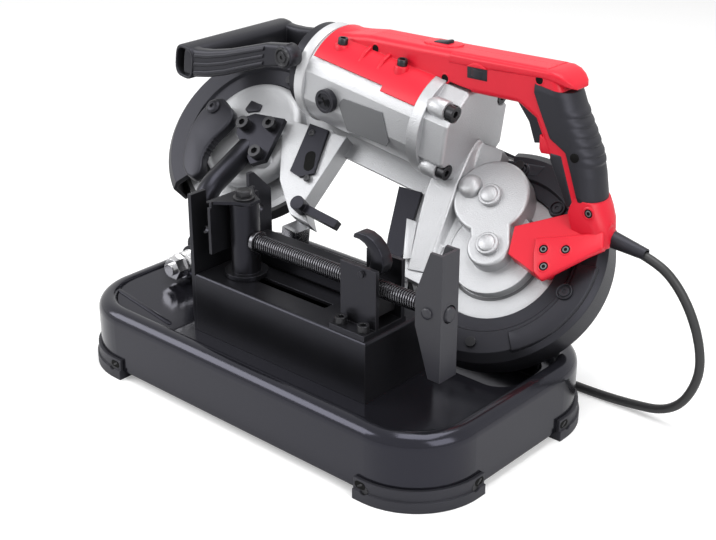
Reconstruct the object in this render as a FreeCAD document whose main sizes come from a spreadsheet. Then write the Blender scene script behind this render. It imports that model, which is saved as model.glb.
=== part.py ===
"""Portable band saw on its bench stand with a screw vise.

The stand is drawn in the world frame: origin on the bench under the middle of the base, X along
the base towards the drive wheel, Y away from the operator, Z up. Motor and handle are drawn in the
saw frame, which hangs at the drive axis and drops towards it by the swing of the saw. The wheels,
the casting and the guards are drawn in the wheel frame, leaned back from the saw frame by the angle
through which the guides turn the blade. Levels on an XZ plane count towards the operator.
"""
import math
import os
import re

import FreeCAD
import Part
import Sketcher
from FreeCAD import Placement, Rotation, Vector

doc = FreeCAD.newDocument("portable_band_saw")
sheet = doc.addObject("Spreadsheet::Sheet", "dims")

# Driving dimensions in millimetres and degrees, grouped by piece
DIMENSIONS = {
    # Base tray and feet
    "base_length": 424, "base_width": 244, "base_corner": 62, "lip_level": 8, "rim_level": 64,
    "floor_level": 48, "tray_sheet": 2.5, "rim_width": 17, "shoulder": 11, "recess_corner": 45,
    "rim_hollow_from": 6, "rim_hollow_to": 14.5, "rim_hollow_level": 58, "rim_round": 5,
    "well_x": 101, "well_y": 53, "well_length": 160, "well_width": 68, "well_level": 28,
    "well_corner": 22, "foot_height": 19, "foot_wall": 4.5, "foot_tier": 9, "foot_set_back": 1.5, "foot_reach": 70, "foot_ledge": 14,
    "foot_screw": 4, "foot_screw_head": 8, "foot_screw_length": 6, "foot_screw_level": 11,
    "foot_screw_inset": 11, "foot_screw_sink": 1.5,
    # Vise table, fixed jaw, work rest
    "table_left": -93, "table_right": 108, "table_front": -73, "table_back": 16, "table_top": 103.5,
    "table_sheet": 3, "slot_left": -73, "slot_right": 40, "slot_width": 10, "jaw_sheet": 4,
    "jaw_top": 178, "jaw_notch": 165, "jaw_back": 24, "jaw_step": 112, "jaw_ear_front": -55,
    "jaw_ear_back": -3, "jaw_chamfer": 21, "jaw_hole": 7, "jaw_eye": 16, "jaw_hole_front": -57,
    "jaw_hole_back": 9.5, "jaw_hole_level": 141, "jaw_eye_y": -27, "jaw_eye_level": 124,
    "rail_front": -19, "rail_back": 8, "rail_top": 125, "rail_left": -80, "rail_right": 64,
    "rail_wall": 2.5, "rail_round": 3,
    # Moving jaw
    "post_x": -59, "screw_y": -42, "screw_level": 138, "post_diameter": 26, "post_bottom": 104,
    "post_top": 172, "post_flange": 38, "post_flange_height": 4, "tongue_length": 24,
    "tongue_play": 0.4, "tongue_depth": 5, "jaw_bore": 8.2, "jaw_bolt": 8, "jaw_bolt_depth": 20,
    "jaw_bolt_head": 16, "jaw_bolt_height": 6, "face_gap": 0.5, "face_sheet": 3, "face_front": -70,
    "face_back": -12, "face_bottom": 127, "face_top": 170, "tab_sheet": 3, "tab_gap": 0.3,
    # Lead screw and crank
    "screw_diameter": 15, "screw_end": 170, "journal": 10, "journal_length": 20, "collar": 20,
    "collar_length": 4, "screw_play": 0.3, "crank_x": 168, "crank_width": 21, "crank_sheet": 2.5,
    "crank_up": 52, "crank_down": 57, "crank_depth": 26, "crank_end_depth": 12, "crank_straight": 14,
    "crank_end_width": 15, "crank_pin": 6, "crank_pin_x": 154, "crank_pin_over": 2,
    # Nut carriage
    "carriage_left": 68, "carriage_right": 106, "carriage_foot": 5, "carriage_front": -72,
    "carriage_back": -20, "cheek": 4, "cheek_front": -58, "cheek_back": -26, "cheek_top": 160,
    "nut_left": 74, "nut_right": 99, "nut_bottom": 114.5, "nut_play": 0.4, "nut_bore": 15.8,
    "horn": 30, "horn_round": 3, "lever_x": 91, "lever_level": 154, "lever_pin": 6, "lever_play": 2, "carriage_bolt": 6,
    "carriage_bolt_head": 10, "carriage_bolt_height": 6, "carriage_bolt_y": -65,
    "carriage_bolt_left": 75, "carriage_bolt_right": 99, "hexagon": 5, "hexagon_depth": 3,
    # Saw pivot
    "pivot_inset": 46, "pivot_x": "=-base_length / 2 + pivot_inset", "pivot_level": 74, "pivot_bolt": 12, "ear_front": -12, "ear_back": 18,
    "ear_sheet": 5, "ear_width": 30, "bracket_foot": 3, "bracket_over": 4, "pivot_head": 19,
    "pivot_head_height": 6, "washer": 24, "washer_sheet": 2.5, "spring_length": 11, "spring_wire": 2.4,
    "spring_diameter": 18, "spring_turns": 3, "pivot_nut": 19, "pivot_nut_height": 10,
    "pivot_tail": 4, "shaft_play": 0.2,
    # Swing arm
    "lug_play": 0.5, "lug_width": 24, "lug_bottom": 61, "lug_top": 98, "arm_tube": 22, "arm_wall": 3,
    "arm_bend_level": 136, "arm_bend_radius": 34, "arm_inset": 13, "arm_end_a": "=-wheel_spacing + arm_inset", "arm_end_w": -18,
    "plate_back": 18, "plate_front": 24, "arm_screw": 8, "arm_screw_head": 13, "arm_screw_height": 8,
    "arm_screw_length": 14, "arm_hexagon": 6, "arm_hexagon_depth": 4, "arm_boss": 18,
    # Saw position and wheels
    "lean": 45, "saw_drop": 8, "drive_x": 110, "drive_y": 97, "drive_level": 125.5,
    "wheel_spacing": 300, "wheel_radius": 86, "wheel_front": -8, "wheel_back": -22, "tyre": 4,
    "rim_inside": 74, "web_front": -13, "web_back": -17, "hub": 34, "axle": 15,
    "drive_disc": 60, "idler_disc": 56, "casting_back": -5, "dome_height": 12, "dome_step": 40,
    "spine_low": 20, "spine_high": 59, "left_leg_face": 15, "right_leg_face": 9,
    "blade_gap": 0.3, "blade_thickness": 0.7, "blade_width": 12.7, "blade_twist_start": 14, "blade_twist_end": 44,
    # Gears and gear cover
    "upper_a": -24, "upper_w": 40, "chamber": 40, "chamber_face": 9, "cover_face": 22, "boss_face": 26,
    "boss": 20, "lower_lobe": 20, "upper_lobe": 35, "cover_wall": 3, "ball_a": -46, "ball": 11,
    "output_gear": 33, "pinion": 13.3, "large_gear": 30, "gear_width": 5, "gear_lift": 0.5,
    "large_gear_lift": 12, "counter_shaft": 10, "shaft_end": 19, "neck_width": 30,
    # Motor, saw frame
    "motor_y": 30, "motor_z": 83, "motor": 92, "motor_wall": 3.5, "motor_inset": 60, "motor_left": "=-wheel_spacing + motor_inset",
    "motor_right": -100, "facet_y": -14, "collar_width": 12, "collar_left": "=motor_left - collar_width", "collar_outer": 82, "head": 100,
    "head_right": -62, "head_wall": 4, "head_notch": 16, "head_bolt_y": 34, "head_bolt_z": 28,
    "head_bolt": 8, "head_bolt_length": 20, "stator": 80, "core_bore": 53, "core": 52,
    "core_inset": 40, "core_clear": 40, "core_left": "=motor_left + core_inset",
    "core_length": "=motor_right - core_clear - core_left", "shaft_over": 8, "shaft_left": "=motor_left - shaft_over", "shaft_right": -70, "bevel": 24,
    "bevel_length": 14, "fan": 76, "fan_width": 10, "fan_left": -122, "brush_inset": 42, "brush_x": "=motor_left + brush_inset",
    "brush_z": 78, "brush_cap": 22, "brush_height": 6, "brush_sink": 10, "brush_stem": 12,
    "label_sheet": 1, "label_height": 26, "motor_back": -6.3, "head_bore": 68, "head_flat": 88, "head_flat_length": 26,
    # Guards
    "guard_radius": 100, "guard_wall": 3, "guard_back": -25, "guard_gap": 0.6, "guard_lip": 90, "guard_shelf": 72, "guard_raise": 3,
    "guard_slope": 2, "guard_bevel": 7,
    "drive_guard_start": 112, "drive_guard_sweep": 218, "idler_guard_start": 240,
    "idler_guard_sweep": 174, "cover_low": 90, "cover_high": 92.5, "cover_from": -12, "cover_inset": 41,
    "guard_screw_head": 9, "guard_screw": 4, "guard_screw_height": 2.5, "drive_screw_circle": 84, "idler_screw_circle": 65,
    # Blade guides, throat plate, work stop, clamp lever
    "guide_top": -36, "guide_bottom": -59, "guide_half": 13, "left_guide_inset": 113, "left_guide_a": "=-wheel_spacing + left_guide_inset",
    "right_guide_a": -66, "guide_back": 6, "guide_length": 18, "roller": 13, "roller_pin": 5, "roller_bottom": -77,
    "roller_top": -61, "roller_gap": 0.4, "plate_sheet": 3, "insert_slot": 9, "stop_face": 4,
    "clamp_inset": 110, "clamp_drop": 46, "clamp_bar": 8, "clamp_pin": 6, "clamp_length": 46, "clamp_knob": 14,
    # Tension lever and idler slide
    "tension_offset": 40, "tension_a": "=-wheel_spacing - tension_offset", "tension_length": 85, "tension_back": 18, "tension_front": 29, "tension_pin": 8, "tension_head": 14,
    "slide_half": 12, "slide_length": 44, "slide_play": 0.4, "slide_back": -5, "slide_travel": 7,
    # Handle
    "handle_front": 12, "handle_back": 48, "handle_round": 6, "handle_wall": 4, "saddle": 4,
    "saddle_inset": 16, "saddle_left": "=motor_left + saddle_inset", "saddle_right": "=motor_right",
    "saddle_low": 107.5, "saddle_high": 112, "saddle_step": -140, "handle_rise": 173, "grip_reach": 74, "foot_back": 9.3, "foot_front": 25, "foot_post": 14,
    "grip_skin": 2, "shell_screw": 9, "shell_screw_depth": 3, "shell_screw_bore": 5,
    "trigger_front": 21, "trigger_back": 39, "trigger_x": -8, "trigger_z": 140, "trigger_pin": 4,
    "rocker_inset": 11, "rocker_x": "=motor_right - rocker_inset", "rocker_y": 32, "rocker_z": 149, "rocker_length": 22, "rocker_width": 11,
    "rocker_height": 7, "rocker_travel": 3, "dial_x": -57.5, "dial_z": 147, "dial": 26, "dial_width": 7, "dial_out": 2,
    "dial_play": 0.6, "strain_x": 90, "strain_z": 46, "strain": 15, "strain_tip": 10,
    "strain_length": 34,
    # Front handle, saw frame
    "bar_reach": 65, "bar_x": "=-wheel_spacing - bar_reach", "bar_z": 66, "bar_front": -42, "bar_back": 102,
    "bar_outer": 33, "bar_bore": 26,
    "bar_depth": 44, "arm_tall": 29, "arm_thick": 15, "arm_rise": 39, "arm_spread": 51, "yoke_wall": 4,
    "yoke_low": 96, "yoke_boss": 20,
    # Cord
    "cord": 8, "coil_x": -40, "coil_y": 181, "coil_loops": 3, "coil_tail": 46, "coil_radius": 52, "coil_pitch": 10, "plug_length": 44,
    "plug": 24, "plug_pin": 4.8, "plug_pin_length": 19, "plug_pin_gap": 19,
}
for row, alias in enumerate(DIMENSIONS, 1):
    sheet.set(f"A{row}", alias)
    sheet.setAlias(f"B{row}", alias)
for row, amount in enumerate(DIMENSIONS.values(), 1):
    sheet.set(f"B{row}", str(amount))
doc.recompute()

pieces = []


def cells(text):
    """Turn the dimension names in an expression into references to the sheet."""
    return re.sub(r"[a-z_][a-z_0-9]*",
                  lambda word: f"dims.{word[0]}" if word[0] in DIMENSIONS else word[0], str(text))


def size(text):
    """Value of an expression of dimension names."""
    return float(sheet.evalExpression(cells(text)))


def body(label, place=Placement()):
    piece = doc.addObject("PartDesign::Body", label)
    piece.Label = label
    piece.Placement = place
    pieces.append(piece)
    return piece


def sketch(piece, role, level):
    """Sketch on one of the body's own planes, lifted to a level."""
    drawing = piece.newObject("Sketcher::SketchObject", f"{piece.Label}_sketch")
    plane = next(item for item in piece.Origin.OriginFeatures if item.Role == role)
    drawing.AttachmentSupport = [(plane, "")]
    drawing.MapMode = "FlatFace"
    drawing.setExpression("AttachmentOffset.Base.z", cells(level))
    return drawing


def pin_down(drawing, geometry, end, x, y):
    """Hold one point of a sketch at two expressions."""
    for kind, text in (("DistanceX", x), ("DistanceY", y)):
        index = drawing.addConstraint(Sketcher.Constraint(kind, -1, 1, geometry, end, size(text)))
        drawing.setExpression(f"Constraints[{index}]", cells(text))


def draw_rounded(drawing, corners, radius):
    """Rectangle with rounded corners, its sides pinned where the arcs begin."""
    (x0, y0), _, (x1, y1), _ = corners
    low_x, high_x = f"{x0} + {radius}", f"{x1} - ({radius})"
    low_y, high_y = f"{y0} + {radius}", f"{y1} - ({radius})"
    sides = [((low_x, y0), (high_x, y0)), ((x1, low_y), (x1, high_y)),
             ((high_x, y1), (low_x, y1)), ((x0, high_y), (x0, low_y))]
    centres = [(high_x, low_y), (high_x, high_y), (low_x, high_y), (low_x, low_y)]
    first = drawing.GeometryCount
    for start, end in sides:
        drawing.addGeometry(Part.LineSegment(Vector(size(start[0]), size(start[1]), 0),
                                             Vector(size(end[0]), size(end[1]), 0)))
    for quarter, (x, y) in enumerate(centres):
        circle = Part.Circle(Vector(size(x), size(y), 0), Vector(0, 0, 1), size(radius))
        begin = (quarter - 1) * math.pi / 2
        drawing.addGeometry(Part.ArcOfCircle(circle, begin, begin + math.pi / 2))
    for side, (start, end) in enumerate(sides):
        line, arc = first + side, first + 4 + side
        pin_down(drawing, line, 1, *start)
        pin_down(drawing, line, 2, *end)
        drawing.addConstraint(Sketcher.Constraint("Coincident", line, 2, arc, 1))
        drawing.addConstraint(Sketcher.Constraint("Coincident", arc, 2, first + (side + 1) % 4, 1))
        x = centres[side][0]
        index = drawing.addConstraint(Sketcher.Constraint("DistanceX", -1, 1, arc, 3, size(x)))
        drawing.setExpression(f"Constraints[{index}]", cells(x))


def draw(drawing, loop):
    """Draw a circle (x, y, diameter), a rounded rectangle (box, radius) or a list of points."""
    if isinstance(loop, tuple) and len(loop) == 2:
        draw_rounded(drawing, *loop)
        return
    if isinstance(loop, tuple):
        x, y, diameter = loop
        centre = Vector(size(x), size(y), 0)
        circle = drawing.addGeometry(Part.Circle(centre, Vector(0, 0, 1), size(diameter) / 2))
        pin_down(drawing, circle, 3, x, y)
        index = drawing.addConstraint(Sketcher.Constraint("Diameter", circle, size(diameter)))
        drawing.setExpression(f"Constraints[{index}]", cells(diameter))
        return
    corners = [Vector(size(x), size(y), 0) for x, y in loop]
    first = drawing.GeometryCount
    for start, end in zip(corners, corners[1:] + corners[:1]):
        drawing.addGeometry(Part.LineSegment(start, end))
    for step, (x, y) in enumerate(loop):
        before = first + (step - 1) % len(loop)
        drawing.addConstraint(Sketcher.Constraint("Coincident", before, 2, first + step, 1))
        pin_down(drawing, first + step, 1, x, y)


def box(x0, y0, x1, y1):
    return [(x0, y0), (x1, y0), (x1, y1), (x0, y1)]


def outline(shares, along_size, up_size, x="0", y="0"):
    """Outline whose points are shares of two sizes of the piece, counted from a place."""
    return [(f"{x} + {out} * {along_size}", f"{y} + {up} * {up_size}") for out, up in shares]


def add(piece, role, low, high, *loops):
    """Raise the loops from one level to another."""
    drawing = sketch(piece, role, low)
    for loop in loops:
        draw(drawing, loop)
    pad = piece.newObject("PartDesign::Pad", f"{piece.Label}_pad")
    pad.Profile = drawing
    pad.setExpression("Length", cells(f"({high}) - ({low})"))
    doc.recompute()


def cut(piece, role, low, high, *loops):
    """Take the loops away between two levels."""
    drawing = sketch(piece, role, high)
    for loop in loops:
        draw(drawing, loop)
    pocket = piece.newObject("PartDesign::Pocket", f"{piece.Label}_pocket")
    pocket.Profile = drawing
    pocket.setExpression("Length", cells(f"({high}) - ({low})"))
    doc.recompute()
    if pocket.Shape.Volume > pocket.BaseFeature.Shape.Volume - 1e-6:
        raise ValueError(f"{piece.Label}: a pocket cuts nothing")


def turn(piece, loop, sweep="360", kind="PartDesign::Revolution"):
    """Turn an outline in radius and depth about the body's Y axis."""
    drawing = sketch(piece, "XY_Plane", "0")
    draw(drawing, loop)
    revolved = piece.newObject(kind, f"{piece.Label}_turn")
    revolved.Profile = drawing
    revolved.ReferenceAxis = (drawing, ["V_Axis"])
    revolved.setExpression("Angle", cells(sweep))
    doc.recompute()


def soften(piece, radius, wanted):
    """Round the edges that a test picks from the tip of a body."""
    tip = piece.Tip
    names = [f"Edge{index}" for index, edge in enumerate(tip.Shape.Edges, 1) if wanted(edge)]
    fillet = piece.newObject("PartDesign::Fillet", f"{piece.Label}_round")
    fillet.Base = (tip, names)
    fillet.setExpression("Radius", cells(radius))
    doc.recompute()


def along(axis):
    """Test for straight edges along an axis."""
    def wanted(edge):
        if edge.Curve.TypeId != "Part::GeomLine":
            return False
        return abs(edge.Curve.Direction.dot(axis)) > 0.999
    return wanted


def level_edges(axis, level):
    """Test for edges that lie in a plane square to an axis."""
    def wanted(edge):
        spots = [vertex.Point.dot(axis) for vertex in edge.Vertexes] + [edge.CenterOfMass.dot(axis)]
        return all(abs(spot - size(level)) < 1e-4 for spot in spots)
    return wanted


def solid(label, shape, place=Placement()):
    """Piece whose shape needs a free form that the sketches do not give."""
    piece = doc.addObject("Part::Feature", label)
    piece.Label = label
    piece.Shape = shape
    piece.Placement = place
    pieces.append(piece)
    return piece


def pin(diameter, low, high, spot, axis):
    """Cylinder between two levels on an axis through a spot."""
    start = spot + axis * size(low)
    return Part.makeCylinder(size(diameter) / 2, size(f"({high}) - ({low})"), start, axis)


AX = Vector(1, 0, 0)
AY = Vector(0, 1, 0)
AZ = Vector(0, 0, 1)
SAW = Placement(Vector(size("drive_x"), size("drive_y"), size("drive_level")), Rotation(AY, size("saw_drop")))
WHEELS = SAW * Placement(Vector(), Rotation(AX, -size("lean")))
IDLER = WHEELS * Placement(AX * -size("wheel_spacing"), Rotation())

# Base tray: a deep drawn pan with a rounded rim, a shallow floor and a clearance well for the drive guard
tray = body("base_tray")
HALF_LENGTH = "base_length / 2"
HALF_WIDTH = "base_width / 2"


def around(inset, corner):
    """Rounded rectangle inset from the edge of the base."""
    return (box(f"-{HALF_LENGTH} + {inset}", f"-{HALF_WIDTH} + {inset}",
                f"{HALF_LENGTH} - {inset}", f"{HALF_WIDTH} - {inset}"), corner)


add(tray, "XY_Plane", "lip_level", "rim_level", around("0", "base_corner"))
soften(tray, "shoulder", level_edges(AZ, "rim_level"))
cut(tray, "XY_Plane", "floor_level", "rim_level", around("rim_width", "recess_corner"))
soften(tray, "rim_round", level_edges(AZ, "rim_level"))
cut(tray, "XY_Plane", "lip_level", "floor_level - tray_sheet", around("tray_sheet", "base_corner - tray_sheet"))
cut(tray, "XY_Plane", "floor_level - tray_sheet", "rim_hollow_level",
    around("rim_hollow_from", "base_corner - rim_hollow_from"), around("rim_hollow_to", "recess_corner"))


def well(margin):
    """Outline of the clearance well for the drive guard."""
    return (box(f"well_x - well_length / 2 - {margin}", f"well_y - well_width / 2 - {margin}",
                f"well_x + well_length / 2 + {margin}", f"well_y + well_width / 2 + {margin}"), "well_corner")


add(tray, "XY_Plane", "well_level - tray_sheet", "floor_level - tray_sheet", well("tray_sheet"))
cut(tray, "XY_Plane", "well_level", "floor_level", well("0"))

# Corner feet: one rubber moulding on each corner of the lip, held by two screws
def rounded_slab(margin, corner, low, high):
    """Slab that follows the base at a margin outside its edge."""
    half_x = size(f"{HALF_LENGTH} + {margin}")
    half_y = size(f"{HALF_WIDTH} + {margin}")
    slab = Part.makeBox(2 * half_x, 2 * half_y, size(f"({high}) - ({low})"), Vector(-half_x, -half_y, size(low)))
    return slab.makeFillet(size(corner), [edge for edge in slab.Edges if along(AZ)(edge)])


ring = rounded_slab("foot_wall", "base_corner + foot_wall", "0", "foot_tier")
ring = ring.fuse(rounded_slab("foot_wall - foot_set_back", "base_corner + foot_wall - foot_set_back", "0", "foot_height"))
ring = ring.cut(rounded_slab("0", "base_corner", "lip_level", "rim_level"))
ring = ring.cut(rounded_slab("-foot_ledge", "base_corner - foot_ledge", "0", "rim_level"))
reach_x = size(f"{HALF_LENGTH} - foot_reach")
reach_y = size(f"{HALF_WIDTH} - foot_reach")
span = size("base_length")
ring = ring.cut(Part.makeBox(2 * reach_x, span, span, Vector(-reach_x, -span / 2, 0)))
ring = ring.cut(Part.makeBox(span * 2, 2 * reach_y, span, Vector(-span, -reach_y, 0)))
foot_screw_spots = []
for side_x in (-1, 1):
    for side_y in (-1, 1):
        x = side_x * (reach_x + size("foot_screw_inset"))
        y = side_y * (reach_y + size("foot_screw_inset"))
        foot_screw_spots.append((Vector(x, side_y * size(f"{HALF_WIDTH} + foot_wall"), size("foot_screw_level")),
                                 Vector(0, -side_y, 0)))
        foot_screw_spots.append((Vector(side_x * size(f"{HALF_LENGTH} + foot_wall"), y, size("foot_screw_level")),
                                 Vector(-side_x, 0, 0)))
screws = []
for spot, inward in foot_screw_spots:
    head = pin("foot_screw_head", "0", "foot_screw_sink + 1.5 * foot_screw_sink", spot, inward)
    shank = pin("foot_screw", "foot_screw_sink", "foot_wall + tray_sheet", spot, inward)
    ring = ring.cut(head.fuse(shank))
    screws.append(pin("foot_screw_head", "foot_screw_sink", "2.5 * foot_screw_sink", spot, inward).fuse(
        pin("foot_screw", "2 * foot_screw_sink", "foot_wall", spot, inward)).removeSplitter())
solid("corner_feet", Part.makeCompound(ring.Solids))
solid("foot_screws", Part.makeCompound(screws))

# Vise table: folded box, open below, slotted for the tongue of the jaw post
table = body("vise_table")
add(table, "XY_Plane", "floor_level", "table_top", box("table_left", "table_front", "table_right", "table_back"))
soften(table, "table_sheet", level_edges(AZ, "table_top"))
cut(table, "XY_Plane", "floor_level", "table_top - table_sheet",
    box("table_left + table_sheet", "table_front + table_sheet", "table_right - table_sheet",
        "table_back - table_sheet"))
cut(table, "XY_Plane", "table_top - table_sheet", "table_top",
    box("slot_left", "screw_y - slot_width / 2", "slot_right", "screw_y + slot_width / 2"))

# Fixed jaw: upright plate on the left end of the table, notched on top
fixed = body("fixed_jaw")
add(fixed, "YZ_Plane", "table_left - jaw_sheet", "table_left",
    [("table_front", "floor_level"), ("table_back", "floor_level"), ("table_back", "table_top"),
     ("jaw_back", "jaw_step"), ("jaw_back", "jaw_top - jaw_chamfer"), ("jaw_back - jaw_chamfer", "jaw_top"),
     ("jaw_ear_back", "jaw_top"), ("jaw_ear_back", "jaw_notch"), ("jaw_ear_front", "jaw_notch"),
     ("jaw_ear_front", "jaw_top"), ("table_front", "jaw_top")],
    ("jaw_hole_front", "jaw_hole_level", "jaw_hole"), ("jaw_hole_back", "jaw_hole_level", "jaw_hole"),
    ("jaw_eye_y", "jaw_eye_level", "jaw_eye"))

# Work rest: square tube along the back of the table
rail = body("work_rail")
add(rail, "YZ_Plane", "rail_left", "rail_right", box("rail_front", "table_top", "rail_back", "rail_top"))
soften(rail, "rail_round", along(AX))
cut(rail, "YZ_Plane", "rail_left", "rail_right",
    box("rail_front + rail_wall", "table_top + rail_wall", "rail_back - rail_wall", "rail_top - rail_wall"))

# Moving jaw: post that slides on the table, face plate that swivels on its top bolt
post = body("jaw_post")
add(post, "XY_Plane", "post_bottom", "post_top", ("post_x", "screw_y", "post_diameter"))
add(post, "XY_Plane", "post_bottom", "post_bottom + post_flange_height", ("post_x", "screw_y", "post_flange"))
add(post, "XY_Plane", "post_bottom - tongue_depth", "post_bottom",
    box("post_x - tongue_length / 2", "screw_y - slot_width / 2 + tongue_play",
        "post_x + tongue_length / 2", "screw_y + slot_width / 2 - tongue_play"))
cut(post, "XY_Plane", "post_top - jaw_bolt_depth", "post_top", ("post_x", "screw_y", "jaw_bore"))
cut(post, "YZ_Plane", "post_x + post_diameter / 2 - journal_length", "post_x + post_diameter / 2",
    ("screw_y", "screw_level", "journal + 2 * screw_play"))

face = body("jaw_face")
FACE_BACK = "post_x - post_diameter / 2 - face_gap"
add(face, "YZ_Plane", f"{FACE_BACK} - face_sheet", FACE_BACK, box("face_front", "face_bottom", "face_back", "face_top"))
add(face, "XY_Plane", "post_top + tab_gap", "post_top + tab_gap + tab_sheet",
    [(f"{FACE_BACK} - face_sheet", "screw_y - post_diameter"), ("post_x", "screw_y - post_diameter / 2"),
     ("post_x + post_diameter / 2", "screw_y - post_diameter / 4"),
     ("post_x + post_diameter / 2", "screw_y + post_diameter / 4"),
     ("post_x", "screw_y + post_diameter / 2"), (f"{FACE_BACK} - face_sheet", "screw_y + post_diameter")],
    ("post_x", "screw_y", "jaw_bore"))
add(face, "YZ_Plane", f"{FACE_BACK} - face_sheet", FACE_BACK,
    box("screw_y - post_diameter", "face_top", "screw_y + post_diameter", "post_top + tab_gap + tab_sheet"))

jaw_spot = Vector(size("post_x"), size("screw_y"), size("post_top + tab_gap + tab_sheet"))
solid("jaw_bolt", pin("jaw_bolt_head", "0", "jaw_bolt_height", jaw_spot, AZ).fuse(
    pin("jaw_bolt", "-jaw_bolt_depth + tab_sheet", "0", jaw_spot, AZ)).removeSplitter())

# Lead screw: turns in the post and carries it, driven through the half nut
screw = body("lead_screw")
SHOULDER = "post_x + post_diameter / 2 + screw_play"
add(screw, "YZ_Plane", f"{SHOULDER} - journal_length + 2 * screw_play", "screw_end", ("screw_y", "screw_level", "journal"))
add(screw, "YZ_Plane", SHOULDER, "screw_end", ("screw_y", "screw_level", "screw_diameter"))
add(screw, "YZ_Plane", SHOULDER, f"{SHOULDER} + collar_length", ("screw_y", "screw_level", "collar"))
cut(screw, "XZ_Plane", "-screw_y - screw_diameter", "-screw_y + screw_diameter",
    ("crank_pin_x", "screw_level", "crank_pin"))

# Crank: folded channel, narrower and shallower at both ends
crank = body("crank_handle")
WEB = "crank_x - crank_sheet"
TOP = "screw_level + crank_up"
BOTTOM = "screw_level - crank_down"
add(crank, "YZ_Plane", WEB, "crank_x",
    box("screw_y - crank_width / 2", BOTTOM, "screw_y + crank_width / 2", TOP),
    ("screw_y", "screw_level", "screw_diameter + screw_play"))
for low in ("-screw_y - crank_width / 2", "-screw_y + crank_width / 2 - crank_sheet"):
    add(crank, "XZ_Plane", low, f"{low} + crank_sheet",
        [("crank_x", BOTTOM), ("crank_x", TOP), ("crank_x - crank_end_depth", TOP),
         ("crank_x - crank_depth", "screw_level + crank_straight"),
         ("crank_x - crank_depth", "screw_level - crank_straight"), ("crank_x - crank_end_depth", BOTTOM)])
add(crank, "XZ_Plane", "-screw_y - crank_width / 2 - crank_pin_over", "-screw_y + crank_width / 2 + crank_pin_over",
    ("crank_pin_x", "screw_level", "crank_pin"))

# Nut carriage: foot with two cheeks at the right end of the table
carriage = body("nut_carriage")
add(carriage, "XY_Plane", "table_top", "table_top + carriage_foot",
    box("carriage_left", "carriage_front", "carriage_right", "carriage_back"),
    ("carriage_bolt_left", "carriage_bolt_y", "carriage_bolt"),
    ("carriage_bolt_right", "carriage_bolt_y", "carriage_bolt"))
for low in ("-cheek_front - cheek", "-cheek_back - cheek"):
    add(carriage, "XZ_Plane", low, f"{low} + cheek",
        box("carriage_left", "table_top", "carriage_right", "cheek_top"))
add(carriage, "XZ_Plane", "-cheek_back - cheek - lever_play", "-cheek_front + lever_play", ("lever_x", "lever_level", "lever_pin"))

nut = body("half_nut")
add(nut, "XZ_Plane", "-cheek_back + nut_play", "-cheek_front - cheek - nut_play",
    box("nut_left", "nut_bottom", "nut_right", "screw_level"))
cut(nut, "YZ_Plane", "nut_left", "nut_right", ("screw_y", "screw_level", "nut_bore"))

# Release lever: horn that lifts the half nut, turning on a pin between the cheeks
HORN_SHARES = ((-0.2, -0.12), (-0.3, 0.27), (-0.62, 0.77), (-0.5, 0.93), (-0.1, 1), (0.3, 0.6), (0.47, 0.2), (0.2, -0.15))
horn = body("release_lever")
add(horn, "XZ_Plane", "-cheek_back + lever_play", "-cheek_front - cheek - lever_play",
    outline(HORN_SHARES, "horn", "horn", "lever_x", "lever_level"),
    ("lever_x", "lever_level", "lever_pin + 2 * shaft_play"))

def socket_bolt(spot, axis, head, height, shank, length, hexagon, depth):
    """Cap screw with a hexagon socket: head outwards along the axis, shank inwards."""
    bolt = pin(head, "0", height, spot, axis).fuse(pin(shank, f"-({length})", "0", spot, axis)).removeSplitter()
    radius = size(hexagon) / math.sqrt(3)
    wrench = Part.Face(Part.makePolygon([Vector(radius * math.cos(k * math.pi / 3),
                                                radius * math.sin(k * math.pi / 3), 0) for k in range(7)]))
    wrench.Placement = Placement(spot + axis * size(f"({height}) - ({depth})"), Rotation(AZ, axis))
    return bolt.cut(wrench.extrude(axis * size(depth) * 2))


solid("carriage_bolts", Part.makeCompound([
    socket_bolt(Vector(size(x), size("carriage_bolt_y"), size("table_top + carriage_foot")), AZ,
                "carriage_bolt_head", "carriage_bolt_height", "carriage_bolt", "carriage_foot", "hexagon", "hexagon_depth")
    for x in ("carriage_bolt_left", "carriage_bolt_right")]))

# Saw pivot: bracket with two ears on the pan floor, bolt, spring pack and nut
bracket = body("pivot_bracket")
EAR_LEFT = "pivot_x - ear_width / 2"
EAR_RIGHT = "pivot_x + ear_width / 2"
add(bracket, "XY_Plane", "floor_level", "floor_level + bracket_foot",
    box(EAR_LEFT, "ear_front - bracket_over", EAR_RIGHT, "ear_back + bracket_over"))
for low in ("-ear_front - ear_sheet", "-ear_back"):
    add(bracket, "XZ_Plane", low, f"{low} + ear_sheet", box(EAR_LEFT, "floor_level", EAR_RIGHT, "pivot_level"))
    add(bracket, "XZ_Plane", low, f"{low} + ear_sheet", ("pivot_x", "pivot_level", "ear_width"))
    cut(bracket, "XZ_Plane", low, f"{low} + ear_sheet", ("pivot_x", "pivot_level", "pivot_bolt + 2 * shaft_play"))

pivot_spot = Vector(size("pivot_x"), 0, size("pivot_level"))
STACK = "ear_front - washer_sheet - spring_length - washer_sheet"


def hexagon_prism(spot, axis, across, low, high):
    """Hexagon bar between two levels on an axis."""
    radius = size(across) / math.sqrt(3)
    corners = [Vector(radius * math.cos(k * math.pi / 3), radius * math.sin(k * math.pi / 3), 0) for k in range(7)]
    face = Part.Face(Part.makePolygon(corners))
    face.Placement = Placement(spot + axis * size(low), Rotation(AZ, axis))
    return face.extrude(axis * size(f"({high}) - ({low})"))


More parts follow.
